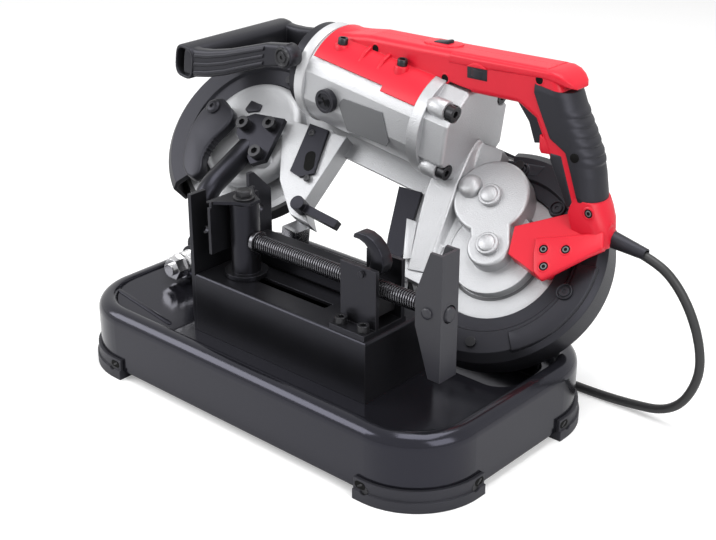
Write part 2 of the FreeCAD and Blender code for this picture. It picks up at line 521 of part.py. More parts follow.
solid("pivot_bolt", hexagon_prism(pivot_spot, AY, "pivot_head", "ear_back", "ear_back + pivot_head_height").fuse(
    pin("pivot_bolt", f"{STACK} - pivot_nut_height - pivot_tail", "ear_back", pivot_spot, AY)).removeSplitter())
solid("pivot_nut", hexagon_prism(pivot_spot, AY, "pivot_nut", f"{STACK} - pivot_nut_height", STACK).cut(
    pin("pivot_bolt", f"{STACK} - pivot_nut_height", STACK, pivot_spot, AY)))
washers = []
for low in ("ear_front - washer_sheet", STACK):
    washers.append(pin("washer", low, f"{low} + washer_sheet", pivot_spot, AY))
for layer in range(int(size("spring_turns"))):
    low = f"{STACK} + washer_sheet + {layer} * spring_length / spring_turns"
    lift = size("spring_length / spring_turns")
    spring = Part.makeCone(size("spring_diameter / 2"), size("washer / 2"), lift, pivot_spot + AY * size(low), AY)
    hollow = Part.makeCone(size("spring_diameter / 2 - spring_wire"), size("washer / 2 - spring_wire"), lift,
                           pivot_spot + AY * size(low), AY)
    washers.append(spring.cut(hollow) if layer % 2 else spring)
core = pin("pivot_bolt", f"{STACK} - washer_sheet", "ear_front", pivot_spot, AY)
solid("pivot_washers", Part.makeCompound([washer.cut(core) for washer in washers]))


def tube(wire, diameter):
    """Round bar swept along a wire of lines and arcs."""
    start = wire.Edges[0].valueAt(wire.Edges[0].FirstParameter)
    tangent = wire.Edges[0].tangentAt(wire.Edges[0].FirstParameter)
    section = Part.Wire(Part.makeCircle(size(diameter) / 2, start, tangent))
    return wire.makePipeShell([section], True, False)



# Swing arm: lug on the pivot bolt, bent tube, and the plate that carries the saw
LUG_FRONT = "ear_front + ear_sheet + lug_play"
LUG_BACK = "ear_back - ear_sheet - lug_play"
lug_middle = size(f"({LUG_FRONT} + {LUG_BACK}) / 2")
lug = Part.makeBox(size("lug_width"), size(f"{LUG_BACK} - ({LUG_FRONT})"), size("lug_top - lug_bottom"),
                   Vector(size("pivot_x - lug_width / 2"), size(LUG_FRONT), size("lug_bottom")))
lug = lug.makeFillet(size("lug_width / 2.2"), [edge for edge in lug.Edges if along(AY)(edge)])


def wheel_spot(a, w, front):
    """World place of a spot in the wheel frame."""
    return WHEELS.multVec(Vector(size(a), -size(front), size(w)))


RUN_SHARE = 0.45
bends = []


def bent_wire(spots, radius=None):
    """Wire of straight runs joined by tangent arcs, as wide as the runs allow unless a radius is given."""
    edges = []
    start = spots[0]
    for before, corner, after in zip(spots, spots[1:], spots[2:]):
        inward = (before - corner).normalize()
        outward = (after - corner).normalize()
        half = inward.getAngle(outward) / 2
        reach = RUN_SHARE * min((before - corner).Length, (after - corner).Length)
        if radius:
            reach = radius / math.tan(half)
        bend = reach * math.tan(half)
        begin = corner + inward * reach
        finish = corner + outward * reach
        bisector = (inward + outward).normalize()
        middle = corner + bisector * (bend / math.sin(half) - bend)
        bends.append(bend)
        edges.append(Part.LineSegment(start, begin).toShape())
        edges.append(Part.Arc(begin, middle, finish).toShape())
        start = finish
    edges.append(Part.LineSegment(start, spots[-1]).toShape())
    return Part.Wire(edges)


arm_foot = Vector(size("pivot_x"), lug_middle, size("lug_top - arm_wall"))
arm_knee = Vector(size("pivot_x"), lug_middle, size("arm_bend_level"))
arm_head = wheel_spot("arm_end_a", "arm_end_w", "plate_back - arm_wall")
arm_path = bent_wire([arm_foot, arm_knee, arm_head], size("arm_bend_radius"))
MOUNT_SHARES = ((-0.16, 0.05), (0.07, 0.25), (0.68, 0.39), (0.82, -0.41), (0.61, -0.59), (-0.04, -0.21))
ARM_SCREW_SHARES = ((0.036, -0.018), (0.536, 0.179), (0.625, -0.375))


def idler_place(share):
    """Place near the idler wheel, in shares of its disc."""
    return f"-wheel_spacing + {share[0]} * idler_disc", f"{share[1]} * idler_disc"


def arm_spot(share, level):
    return wheel_spot(*idler_place(share), level)


front = WHEELS.Rotation.multVec(-AY)
mount = Part.Face(Part.makePolygon([arm_spot(share, "plate_back") for share in MOUNT_SHARES + MOUNT_SHARES[:1]]))
mount = mount.extrude(front * size("plate_front - plate_back"))
for share in ARM_SCREW_SHARES:
    mount = mount.cut(pin("arm_screw + shaft_play", "0", "plate_front - plate_back", arm_spot(share, "plate_back"), front))
behind_plate = Part.makeBox(size("wheel_spacing"), size("arm_tube"), size("wheel_spacing"),
                            Vector(-size("wheel_spacing * 1.5"), -size("plate_back"), -size("wheel_spacing / 2")))
behind_plate.Placement = WHEELS
arm = lug.fuse(tube(arm_path, "arm_tube").cut(behind_plate)).fuse(mount)
arm = arm.cut(pin("pivot_bolt + 2 * shaft_play", "ear_front", "ear_back", pivot_spot, AY)).removeSplitter()
solid("swing_arm", arm)
solid("arm_screws", Part.makeCompound([
    socket_bolt(arm_spot(share, "plate_front"), front, "arm_screw_head", "arm_screw_height", "arm_screw",
                "arm_screw_length", "arm_hexagon", "arm_hexagon_depth") for share in ARM_SCREW_SHARES]))

# Main casting: two wheel discs, the spine between them, the two legs of the throat and the motor cradle
LEFT_LEG_SHARES = ((0.5, 0.41), (1.88, 0.58), (1.89, -0.69), (2.21, -0.954), (1.79, -0.954), (1.21, -0.54))
RIGHT_LEG_SHARES = ((-1.58, 0.41), (-0.83, 0.76), (-0.33, 0.51), (-0.33, -0.85), (-0.73, -0.954), (-1.27, -0.954))
casting = body("saw_frame", WHEELS)
add(casting, "XZ_Plane", "casting_back", "0", ("0", "0", "2 * drive_disc"))
add(casting, "XZ_Plane", "casting_back", "0", box("-wheel_spacing", "spine_low", "0", "spine_high"))
add(casting, "XZ_Plane", "casting_back", "0", ("-wheel_spacing", "0", "2 * idler_disc"))
add(casting, "XZ_Plane", "0", "dome_height", ("-wheel_spacing", "0", "2 * idler_disc"))
soften(casting, "dome_height - shaft_play", level_edges(AY, "-dome_height"))
add(casting, "XZ_Plane", "casting_back", "left_leg_face",
    outline(LEFT_LEG_SHARES, "idler_disc", "spine_high", "-wheel_spacing"))
add(casting, "XZ_Plane", "casting_back", "right_leg_face", outline(RIGHT_LEG_SHARES, "drive_disc", "spine_high"))
cut(casting, "XZ_Plane", "0", "right_leg_face", ("0", "0", "2 * chamber + 2 * screw_play"))
cut(casting, "XZ_Plane", "0", "right_leg_face", ("upper_a", "upper_w", "2 * upper_lobe + 2 * screw_play"))
MOTOR_W = "((motor_y + motor_z) / sqrt(2))"
MOTOR_N = "((motor_z - motor_y) / sqrt(2))"
cut(casting, "YZ_Plane", "collar_left - guard_gap", "motor_left", (f"-{MOTOR_N}", MOTOR_W, "collar_outer + 2 * yoke_wall"))
cut(casting, "YZ_Plane", "motor_left", "motor_right", (f"-{MOTOR_N}", MOTOR_W, "motor + 2 * shaft_play"))
cut(casting, "YZ_Plane", "motor_right", "head_right", (f"-{MOTOR_N}", MOTOR_W, "head + 2 * shaft_play"))
for share in ARM_SCREW_SHARES:
    add(casting, "XZ_Plane", "0", "plate_back", (*idler_place(share), "arm_boss"))
for share in ARM_SCREW_SHARES:
    cut(casting, "XZ_Plane", "plate_front - arm_screw_length", "plate_back",
        (*idler_place(share), "arm_screw + shaft_play"))
add(casting, "XZ_Plane", "0", "tension_back - screw_play", ("tension_a", "0", "tension_head"))
add(casting, "XZ_Plane", "tension_back - screw_play", "tension_front + screw_play", ("tension_a", "0", "tension_pin"))
add(casting, "XZ_Plane", "tension_front + screw_play", "tension_front + screw_play + washer_sheet",
    ("tension_a", "0", "tension_head"))
cut(casting, "XZ_Plane", "casting_back", "0", ("0", "0", "axle + 2 * shaft_play"))
cut(casting, "XZ_Plane", "casting_back", "0", ("upper_a", "upper_w", "counter_shaft + 2 * shaft_play"))
SLIDE_LEFT = "-wheel_spacing - slide_length / 2"
SLIDE_RIGHT = "-wheel_spacing + slide_length / 2"
cut(casting, "XZ_Plane", "casting_back", "dome_height / 2 + slide_play",
    box(f"{SLIDE_LEFT} - slide_play", "-slide_half - slide_play", f"{SLIDE_RIGHT} + slide_travel + slide_play",
        "slide_half + slide_play"))

# Idler slide block with its axle, moved along the spine by the tension lever
slide = body("idler_slide", WHEELS)
add(slide, "XZ_Plane", "slide_back", "dome_height / 2", box(SLIDE_LEFT, "-slide_half", SLIDE_RIGHT, "slide_half"))
add(slide, "XZ_Plane", "guard_back", "slide_back", ("-wheel_spacing", "0", "axle"))

# Gear cover: chamber over the output gear, figure-of-eight hood over the two shafts, bearing bosses
cover = body("gear_cover", WHEELS)
add(cover, "XZ_Plane", "0", "chamber_face", ("0", "0", "2 * chamber"))
add(cover, "XZ_Plane", "0", "cover_face", ("upper_a", "upper_w", "2 * upper_lobe"))
add(cover, "XZ_Plane", "chamber_face", "cover_face", ("0", "0", "2 * lower_lobe"))
add(cover, "XZ_Plane", "chamber_face", "cover_face",
    [("-lower_lobe", "0"), ("lower_lobe * 0.8", "lower_lobe * 0.6"), ("0", "upper_w * 0.9"), ("upper_a - lower_lobe", "upper_w * 0.8")])
soften(cover, "cover_wall", level_edges(AY, "-cover_face"))
for a, w in (("0", "0"), ("upper_a", "upper_w")):
    add(cover, "XZ_Plane", "cover_face", "boss_face", (a, w, "boss"))
add(cover, "XZ_Plane", "cover_face", "cover_face + ball - cover_wall", ("ball_a", "upper_w", "2 * ball"))
soften(cover, "ball - 1.2 * cover_wall", level_edges(AY, "-cover_face - ball + cover_wall"))
cut(cover, "XZ_Plane", "0", "chamber_face - cover_wall", ("0", "0", "2 * (chamber - cover_wall)"))
cut(cover, "XZ_Plane", "0", "cover_face - cover_wall", ("upper_a", "upper_w", "2 * (upper_lobe - cover_wall)"))
cut(cover, "XZ_Plane", "0", "shaft_end + screw_play", ("0", "0", "axle + 2 * shaft_play"))
cut(cover, "XZ_Plane", "0", "cover_face", ("upper_a", "upper_w", "counter_shaft + 2 * shaft_play"))


def depth(text):
    """Y of a level in the wheel frame."""
    return f"-({text})"


# Gear train: output gear on the drive axle, counter gear with its pinion
axle = body("drive_axle", WHEELS)
GEAR_TOP = "gear_lift + gear_width"
turn(axle, [("0", depth("guard_back")), ("axle / 2", depth("guard_back")), ("axle / 2", depth("gear_lift")),
            ("output_gear", depth("gear_lift")), ("output_gear", depth(GEAR_TOP)), ("axle / 2", depth(GEAR_TOP)),
            ("axle / 2", depth("shaft_end")), ("0", depth("shaft_end"))])
UPPER = WHEELS * Placement(Vector(size("upper_a"), 0, size("upper_w")), Rotation())
counter = body("counter_gear", UPPER)
LARGE_TOP = "large_gear_lift + gear_width"
HALF_SHAFT = "counter_shaft / 2"
turn(counter, [("0", depth("casting_back")), (HALF_SHAFT, depth("casting_back")), (HALF_SHAFT, depth("gear_lift")),
               ("pinion", depth("gear_lift")), ("pinion", depth(GEAR_TOP)), (HALF_SHAFT, depth(GEAR_TOP)),
               (HALF_SHAFT, depth("large_gear_lift")), ("large_gear", depth("large_gear_lift")),
               ("large_gear", depth(LARGE_TOP)), (HALF_SHAFT, depth(LARGE_TOP)),
               (HALF_SHAFT, depth("cover_face - screw_play")), ("0", depth("cover_face - screw_play"))])

# Wheels with rubber tyres: the drive wheel is pressed on its axle, the idler turns on the slide's axle
TYRE_SEAT = "wheel_radius - tyre"
for name, place, bore in (("drive", WHEELS, "axle / 2"), ("idler", IDLER, "axle / 2 + shaft_play")):
    wheel = body(f"{name}_wheel", place)
    turn(wheel, [(bore, depth("wheel_back")), ("hub / 2", depth("wheel_back")), ("hub / 2", depth("web_back")),
                 ("rim_inside", depth("web_back")), ("rim_inside", depth("wheel_back")),
                 (TYRE_SEAT, depth("wheel_back")), (TYRE_SEAT, depth("wheel_front")),
                 ("rim_inside", depth("wheel_front")), ("rim_inside", depth("web_front")),
                 ("hub / 2", depth("web_front")), ("hub / 2", depth("wheel_front")), (bore, depth("wheel_front"))])
    rubber = body(f"{name}_tyre", place)
    turn(rubber, box(TYRE_SEAT, depth("wheel_front"), "wheel_radius", depth("wheel_back")))

# Blade: half loops on the wheels, a straight return run, and a working run turned on edge by the guides
LOOP = "wheel_radius + blade_gap"
blade_mid = size("(wheel_front + wheel_back) / 2")
half_width = size("blade_width / 2")
run_w = -size(f"{LOOP} + blade_thickness / 2")


def half_loop(centre_a, sign):
    ring = Part.makeCylinder(size(f"{LOOP} + blade_thickness"), 2 * half_width,
                             Vector(centre_a, -blade_mid - half_width, 0), AY)
    ring = ring.cut(Part.makeCylinder(size(LOOP), 2 * half_width, Vector(centre_a, -blade_mid - half_width, 0), AY))
    reach = size("2 * wheel_radius")
    keep = Part.makeBox(reach, reach, 2 * reach, Vector(centre_a - (reach if sign < 0 else 0), -reach / 2, -reach))
    return ring.common(keep)


def blade_section(a, twist):
    """Cross section of the blade, turned about its own line."""
    across = Vector(0, -math.cos(twist), math.sin(twist)) * half_width
    through = Vector(0, math.sin(twist), math.cos(twist)) * size("blade_thickness / 2")
    centre = Vector(a, -blade_mid, run_w)
    return Part.makePolygon([centre + across + through, centre + across - through,
                             centre - across - through, centre - across + through, centre + across + through])


lean = math.radians(size("lean"))
twist_end = size("blade_twist_end")
spacing = size("wheel_spacing")
TWIST_SHARES = (0, 1 / 3, 2 / 3, 1)
twist_start = size("blade_twist_start")
reaches = [(0, 0)] + [(twist_start + share * (twist_end - twist_start), share) for share in TWIST_SHARES]
sections = [blade_section(-spacing + reach, share * lean) for reach, share in reaches]
sections += [blade_section(-reach, share * lean) for reach, share in reversed(reaches)]
return_run = Part.makeBox(spacing, 2 * half_width, size("blade_thickness"),
                          Vector(-spacing, -blade_mid - half_width, size(LOOP)))
band = half_loop(0, 1).multiFuse([half_loop(-spacing, -1), return_run, Part.makeLoft(sections, True, True)])
solid("blade", band.removeSplitter(), WHEELS)

# Guards over the wheels with a raised, bevelled band, the cover of the return run between them, and their screws
GUARD_TOP = "guard_wall + guard_raise"


def guard(label, place, disc, start, sweep):
    cowl = body(label, place * Placement(Vector(), Rotation(AY, -size(start))))
    inner = f"{disc} + guard_gap"
    wall = "guard_radius - guard_wall"
    turn(cowl, [(inner, depth("guard_wall")), ("guard_shelf", depth("guard_wall")),
                ("guard_shelf + guard_slope", depth(GUARD_TOP)), ("guard_radius - guard_bevel", depth(GUARD_TOP)),
                ("guard_radius", depth(f"{GUARD_TOP} - guard_bevel")),
                ("guard_radius", depth("guard_back")), ("guard_lip", depth("guard_back")),
                ("guard_lip", depth("guard_back + guard_wall")), (wall, depth("guard_back + guard_wall")),
                (wall, depth("-guard_raise")), ("guard_radius - guard_bevel", "0"), (inner, "0")], sweep)
    return cowl


DRIVE_SCREW_ANGLES = (107, 69, 0, -70)
IDLER_SCREW_ANGLES = (90, 180, 225)
screws = []
for name, place, angles in (("drive", WHEELS, DRIVE_SCREW_ANGLES), ("idler", IDLER, IDLER_SCREW_ANGLES)):
    start = f"{name}_guard_start"
    circle = f"{name}_screw_circle"
    cowl = guard(f"{name}_guard", place, f"{name}_disc", start, f"{name}_guard_sweep")
    if name == "drive":
        cut(cowl, "XZ_Plane", "0", GUARD_TOP,
            (f"upper_a * cos({start}) + upper_w * sin({start})", f"upper_w * cos({start}) - upper_a * sin({start})",
             "2 * upper_lobe + 2 * screw_play"))
    for angle in angles:
        turned = f"({angle} - {start})"
        cut(cowl, "XZ_Plane", "0", GUARD_TOP,
            (f"{circle} * cos({turned})", f"{circle} * sin({turned})", "guard_screw"))
        radians = math.radians(angle)
        spot = place.multVec(Vector(math.cos(radians), 0, math.sin(radians)) * size(circle))
        seat = GUARD_TOP if name == "drive" else "guard_wall"
        spot = spot + front * size(seat)
        screws.append(pin("guard_screw_head", "0", "guard_screw_height", spot, front).fuse(
            pin("guard_screw", f"-({seat})", "0", spot, front)).removeSplitter())
hood = body("blade_cover", WHEELS)
add(hood, "XZ_Plane", "guard_back", "cover_from", box("-wheel_spacing + cover_inset", "cover_low", "-cover_inset", "cover_high"))

# Blade guides: a block on the tip of each leg with two hard pads that hold the blade on edge
RUN_Y = f"((-({LOOP} + blade_thickness / 2) - (wheel_front + wheel_back) / 2) / sqrt(2))"
for name, middle in (("left", "left_guide_a"), ("right", "right_guide_a")):
    block = body(f"{name}_guide", SAW)
    add(block, "XY_Plane", "guide_bottom", "guide_top",
        box(f"{middle} - guide_length / 2", f"{RUN_Y} - guide_half", f"{middle} + guide_length / 2", f"{RUN_Y} + guide_back"))
    for side in (-1, 1):
        near = f"{RUN_Y} + {side} * (blade_thickness / 2 + roller_gap)"
        far = f"{RUN_Y} - guide_half" if side < 0 else f"{RUN_Y} + guide_back"
        lower, upper = (far, near) if side < 0 else (near, far)
        add(block, "XY_Plane", "roller_bottom", "guide_bottom",
            box(f"{middle} - guide_length / 2", lower, f"{middle} + guide_length / 2", upper))

# Throat plate on the left leg, work stop on the right leg, clamp lever of the left guide
INSERT_SHARES = ((1.11, 0.51), (1.52, 0.54), (1.77, -0.2), (1.55, -0.36), (1.32, -0.34))
insert = body("throat_plate", WHEELS)
add(insert, "XZ_Plane", "left_leg_face", "left_leg_face + plate_sheet", outline(INSERT_SHARES, "idler_disc", "spine_high", "-wheel_spacing"))
STOP_SHARES = ((-1.93, 0.24), (-1.53, 0.31), (-1.2, -0.71), (-1.23, -0.93), (-1.4, -0.93), (-1.6, -0.54))
stop = body("work_stop", WHEELS)
add(stop, "XZ_Plane", "right_leg_face", "right_leg_face + stop_face", outline(STOP_SHARES, "drive_disc", "spine_high"))
clamp = body("clamp_lever", WHEELS)
CLAMP_A = "(-wheel_spacing + clamp_inset)"
CLAMP_W = "(-clamp_drop)"
add(clamp, "XZ_Plane", "left_leg_face + screw_play", "left_leg_face + screw_play + clamp_bar",
    box(CLAMP_A, f"{CLAMP_W} - clamp_bar / 2", f"{CLAMP_A} + clamp_length", f"{CLAMP_W} + clamp_bar / 2"))
add(clamp, "XZ_Plane", "left_leg_face + screw_play", "left_leg_face + screw_play + clamp_knob", (CLAMP_A, CLAMP_W, "clamp_knob"))

# Tension lever: curved handle on a shouldered screw in the idler dome
TENSION_SHARES = ((-0.07, -0.106), (-0.14, 0.06), (-0.08, 0.18), (0.05, 0.165), (0.14, 0.05), (0.13, -0.28), (0.36, -0.73),
                  (0.32, -0.82), (0.22, -0.82), (-0.02, -0.47))
tension = body("tension_lever", WHEELS)
add(tension, "XZ_Plane", "tension_back", "tension_front", outline(TENSION_SHARES, "tension_length", "tension_length", "tension_a"),
    ("tension_a", "0", "tension_pin + 2 * shaft_play"))

# Motor: housing with a flat front facet, end collar, gear head with four notched bolts
MOTOR_SPAN = "(motor_right - motor_left)"


def motor_circle(diameter):
    return ("motor_y", "motor_z", diameter)


def flat_back():
    """Area behind the plane that leaves room for the return run of the blade."""
    area = []
    for w, n in (("0", "motor_back"), ("2 * motor", "motor_back"), ("2 * motor", "-motor"), ("0", "-motor")):
        area.append((f"(({w}) - ({n})) / sqrt(2)", f"(({w}) + ({n})) / sqrt(2)"))
    return area


housing = body("motor_housing", SAW)
add(housing, "YZ_Plane", "motor_left", "motor_right", motor_circle("motor"))
cut(housing, "YZ_Plane", "motor_left", "motor_right", flat_back())
cut(housing, "XZ_Plane", "-facet_y", "motor", box("motor_left", "0", "motor_right", "2 * motor"))
cut(housing, "YZ_Plane", "motor_left", "motor_right", motor_circle("motor - 2 * motor_wall"))
cut(housing, "XZ_Plane", "-facet_y - brush_sink", "-facet_y", ("brush_x", "brush_z", "brush_stem"))
collar = body("end_collar", SAW)
add(collar, "YZ_Plane", "collar_left", "motor_left", motor_circle("collar_outer"))
cut(collar, "YZ_Plane", "shaft_left - screw_play", "motor_left", motor_circle("counter_shaft + 2 * shaft_play"))
head = body("gear_head", SAW)
add(head, "YZ_Plane", "motor_right", "head_right", motor_circle("head"))
EIGHTH = "head_flat / 2 * tan(22.5)"
FACETS = [("head_flat / 2", EIGHTH), (EIGHTH, "head_flat / 2"), (f"-{EIGHTH}", "head_flat / 2"), ("-head_flat / 2", EIGHTH),
          ("-head_flat / 2", f"-{EIGHTH}"), (f"-{EIGHTH}", "-head_flat / 2"), (EIGHTH, "-head_flat / 2"),
          ("head_flat / 2", f"-{EIGHTH}")]
cut(head, "YZ_Plane", "head_right - head_flat_length", "head_right", motor_circle("2 * head"),
    [(f"motor_y + ({y})", f"motor_z + ({z})") for y, z in FACETS])
soften(head, "head_wall", level_edges(AX, "head_right"))
cut(head, "YZ_Plane", "motor_right", "head_right", flat_back())
cut(head, "YZ_Plane", "motor_right + 2 * head_wall", "head_right - head_wall", motor_circle("head_bore"))
cut(head, "YZ_Plane", "motor_right", "motor_right + 2 * head_wall", motor_circle("counter_shaft + 2 * shaft_play"))
bolts = []
for side_y, side_z in ((-1, -1), (-1, 1), (1, 1), (1, -1)):
    y = f"motor_y + {side_y} * head_bolt_y"
    z = f"motor_z + {side_z} * head_bolt_z"
    if side_y > 0 > side_z:
        continue
    cut(head, "YZ_Plane", "head_right - arm_screw_height", "head_right", (y, z, "head_notch"))
    cut(head, "YZ_Plane", "head_right - head_bolt_length", "head_right - arm_screw_height", (y, z, "head_bolt"))
    bolts.append(socket_bolt(Vector(size("head_right - arm_screw_height"), size(y), size(z)), AX, "arm_screw_head",
                             "arm_screw_height", "head_bolt", "head_bolt_length - arm_screw_height",
                             "arm_hexagon", "arm_hexagon_depth"))
solid("gear_head_bolts", Part.makeCompound(bolts), SAW)

motor_line = Vector(0, size("motor_y"), size("motor_z"))
solid("armature", pin("counter_shaft", "shaft_left", "shaft_right", motor_line, AX).multiFuse([
    pin("core", "core_left", "core_left + core_length", motor_line, AX),
    pin("fan", "fan_left", "fan_left + fan_width", motor_line, AX),
    pin("bevel", "shaft_right - bevel_length", "shaft_right", motor_line, AX)]).removeSplitter(), SAW)
brush_spot = Vector(size("brush_x"), size("facet_y"), size("brush_z"))
cap = pin("brush_cap", "0", "brush_height", brush_spot, -AY).fuse(pin("brush_stem", "-motor_wall / 2", "0", brush_spot, -AY))
solid("brush_cap", cap.removeSplitter(), SAW)
LABEL_SHARES = ((0.41, 0), (0.43, 0.12), (0.76, 0.25), (0.843, -0.69), (0.828, -0.88), (0.49, -0.96), (0.4, -0.2))
label = body("name_plate", SAW)
add(label, "XZ_Plane", "-facet_y", "-facet_y + label_sheet", outline(LABEL_SHARES, MOTOR_SPAN, "label_height", "motor_left", "motor_z"))

# Handle: two red half shells over the motor, hollow for switch and speed dial, with a saddle flange
NOSE_SHARES = ((0.114, 0.67), (0.114, 0.75), (0.257, 0.775), (0.414, 0.81), (0.786, 0.86))
REAR_SHARES = ((0.11, 1), (0.27, 0.97), (0.38, 0.89), (1, 0.358), (0.73, 0.358), (0.6, 0.42), (0.08, 0.74),
               (-0.18, 0.78))
NECK_SHARES = ((0.1, 0.705), (0.03, 0.67))
CAVITY_SHARES = ((-1.16, 0.775), (-0.16, 0.844), (0.135, 0.775), (0.62, 0.474), (0.76, 0.474), (0.257, 0.867), (0.12, 0.942),
                 (0.03, 0.96), (-1.16, 0.861))
TRIGGER_GAP_SHARES = ((-0.08, 0.844), (-0.35, 0.78), (-0.08, 0.682), (0.03, 0.578), (0.32, 0.613), (0.22, 0.786))
MIDDLE = "motor_y"
HANDLE = outline(NOSE_SHARES, MOTOR_SPAN, "handle_rise", "motor_left") + outline(REAR_SHARES, "grip_reach", "handle_rise")
HANDLE = HANDLE + outline(NECK_SHARES, "head", "handle_rise", "motor_right")
CAVITY = outline(CAVITY_SHARES, "grip_reach", "handle_rise")
TRIGGER_GAP = outline(TRIGGER_GAP_SHARES, "grip_reach", "handle_rise")
LEFT_SIDE = "motor_y - motor"
RIGHT_SIDE = "motor_y + motor"
for label, low, high, outer in (("handle_front", f"-{MIDDLE}", "-handle_front", "handle_front"),
                                ("handle_back", "-handle_back", f"-{MIDDLE}", "handle_back")):
    shell = body(label, SAW)
    add(shell, "XZ_Plane", low, high, HANDLE)
    soften(shell, "handle_round", level_edges(AY, outer))
    cut(shell, "YZ_Plane", "motor_left", "motor_right", motor_circle("motor + 2 * shaft_play"))
    cut(shell, "YZ_Plane", "motor_right", "head_right", motor_circle("head + 2 * shaft_play"))
    add(shell, "YZ_Plane", "saddle_left", "saddle_right", motor_circle("motor + 2 * saddle"),
        motor_circle("motor + 2 * shaft_play"))
    cut(shell, "YZ_Plane", "saddle_left", "saddle_right", box(LEFT_SIDE, "motor_z - motor", RIGHT_SIDE, "saddle_low"))
    cut(shell, "YZ_Plane", "saddle_left", "saddle_step", box(LEFT_SIDE, "motor_z", RIGHT_SIDE, "saddle_high"))
    if outer == "handle_front":
        cut(shell, "YZ_Plane", "saddle_left", "saddle_right", box(MIDDLE, "motor_z", RIGHT_SIDE, "motor_z + motor"))
    else:
        cut(shell, "YZ_Plane", "saddle_left", "saddle_right", box(LEFT_SIDE, "motor_z", MIDDLE, "motor_z + motor"))
    if outer == "handle_front":
        cut(shell, "XZ_Plane", low, f"{high} - handle_wall", CAVITY)
        cut(shell, "XZ_Plane", low, "-trigger_front + screw_play", TRIGGER_GAP)
    else:
        cut(shell, "XZ_Plane", f"{low} + handle_wall", high, CAVITY)
        cut(shell, "XZ_Plane", "-trigger_back - screw_play", high, TRIGGER_GAP)
    cut(shell, "XY_Plane", "rocker_z - rocker_height", "rocker_z + rocker_height",
        box("rocker_x - rocker_length / 2 - face_gap", "rocker_y - rocker_width / 2 - face_gap",
            "rocker_x + rocker_length / 2 + face_gap", "rocker_y + rocker_width / 2 + face_gap"))
    if outer == "handle_front":
        cut(shell, "XY_Plane", "dial_z - dial_width / 2 - dial_play", "dial_z + dial_width / 2 + dial_play",
            ("dial_x", "handle_front - dial_out + dial / 2", "dial + 2 * dial_play"))

trigger = body("trigger", SAW)
TRIGGER_SHARES = ((-0.12, 0.832), (-0.27, 0.777), (-0.054, 0.694), (0.068, 0.6), (0.216, 0.624), (0.08, 0.75))
add(trigger, "XZ_Plane", "-trigger_back", "-trigger_front", outline(TRIGGER_SHARES, "grip_reach", "handle_rise"))
add(trigger, "XZ_Plane", "-trigger_back", "-trigger_front", ("trigger_x", "trigger_z", "2 * trigger_pin"))
rocker = body("lock_rocker", SAW)
add(rocker, "XY_Plane", "rocker_z - rocker_height + rocker_travel", "rocker_z + face_gap * 10",
    box("rocker_x - rocker_length / 2", "rocker_y - rocker_width / 2", "rocker_x + rocker_length / 2", "rocker_y + rocker_width / 2"))
dial = body("speed_dial", SAW)
add(dial, "XY_Plane", "dial_z - dial_width / 2", "dial_z + dial_width / 2",
    ("dial_x", "handle_front - dial_out + dial / 2", "dial"))
grips = []
GRIP_SHARES = ((0.03, 0.88), (0.28, 0.9), (0.9, 0.43), (0.76, 0.405))
for level, sign in (("handle_front", -1), ("handle_back", 1)):
    corners = outline(GRIP_SHARES + GRIP_SHARES[:1], "grip_reach", "handle_rise")
    skin = Part.makePolygon([Vector(size(x), size(level), size(z)) for x, z in corners])
    grips.append(Part.Face(skin).extrude(AY * sign * size("grip_skin")))
solid("grip_skin", Part.makeCompound(grips), SAW)

# Handle foot: bracket that bolts the lower end of the handle to the drive disc
FOOT_SHARES = ((0.233, 0.4), (0.383, 0), (0.867, -0.083), (1.5, 0.7), (1.5, 1.033), (1.3, 1.033), (0.967, 1))
FOOT_SCREW_SHARES = ((0.75, 0.333), (0.883, 0.117))
foot = body("handle_foot", WHEELS)
add(foot, "XZ_Plane", "foot_back", "foot_front", outline(FOOT_SHARES, "drive_disc", "drive_disc"))
for a, w in outline(FOOT_SCREW_SHARES, "drive_disc", "drive_disc"):
    add(foot, "XZ_Plane", "0", "foot_back", (a, w, "foot_post"))
    cut(foot, "XZ_Plane", "0", "foot_front", (a, w, "guard_screw"))
    foot_spot = wheel_spot(a, w, "foot_front")
    screws.append(pin("guard_screw_head", "0", "guard_screw_height", foot_spot, front).fuse(
        pin("guard_screw", "-foot_front", "0", foot_spot, front)).removeSplitter())
solid("housing_screws", Part.makeCompound(screws))

# Front handle: open tube across the nose of the saw on two moulded arms from a half ring over the collar
ARM_SHARES = ((0.05, 0, 1, 1), (0.38, 0.16, 0.9, 0.8), (0.7, 0.56, 0.83, 0.75), (1, 1, 0.76, 0.9))
YOKE_OUTER = "collar_outer + 2 * yoke_wall"
yoke = pin(YOKE_OUTER, "collar_left", "motor_left", motor_line, AX)
below = Part.makeBox(size("collar_width"), size(YOKE_OUTER), size(YOKE_OUTER),
                     Vector(size("collar_left"), size(f"motor_y - ({YOKE_OUTER}) / 2"), size(f"yoke_low - ({YOKE_OUTER})")))
behind = Part.Face(Part.makePolygon([Vector(size("collar_left"), size(y), size(z)) for y, z in flat_back() + flat_back()[:1]]))
yoke = yoke.cut(below).cut(behind.extrude(AX * size("collar_width")))
bar_line = Vector(size("bar_x"), 0, size("bar_z"))
loop = yoke.fuse(pin("bar_outer", "bar_front", "bar_back", bar_line, AY))


def arm_section(x, y, z, tall, thick):
    """Rectangle with cut corners, square to the motor axis."""
    corner = thick / 4
    half = thick / 2
    rise = tall / 2
    spots = [(-half, -rise + corner), (-half, rise - corner), (-half + corner, rise), (half - corner, rise),
             (half, rise - corner), (half, -rise + corner), (half - corner, -rise), (-half + corner, -rise)]
    return Part.makePolygon([Vector(x, y + out, z + up) for out, up in spots + spots[:1]])


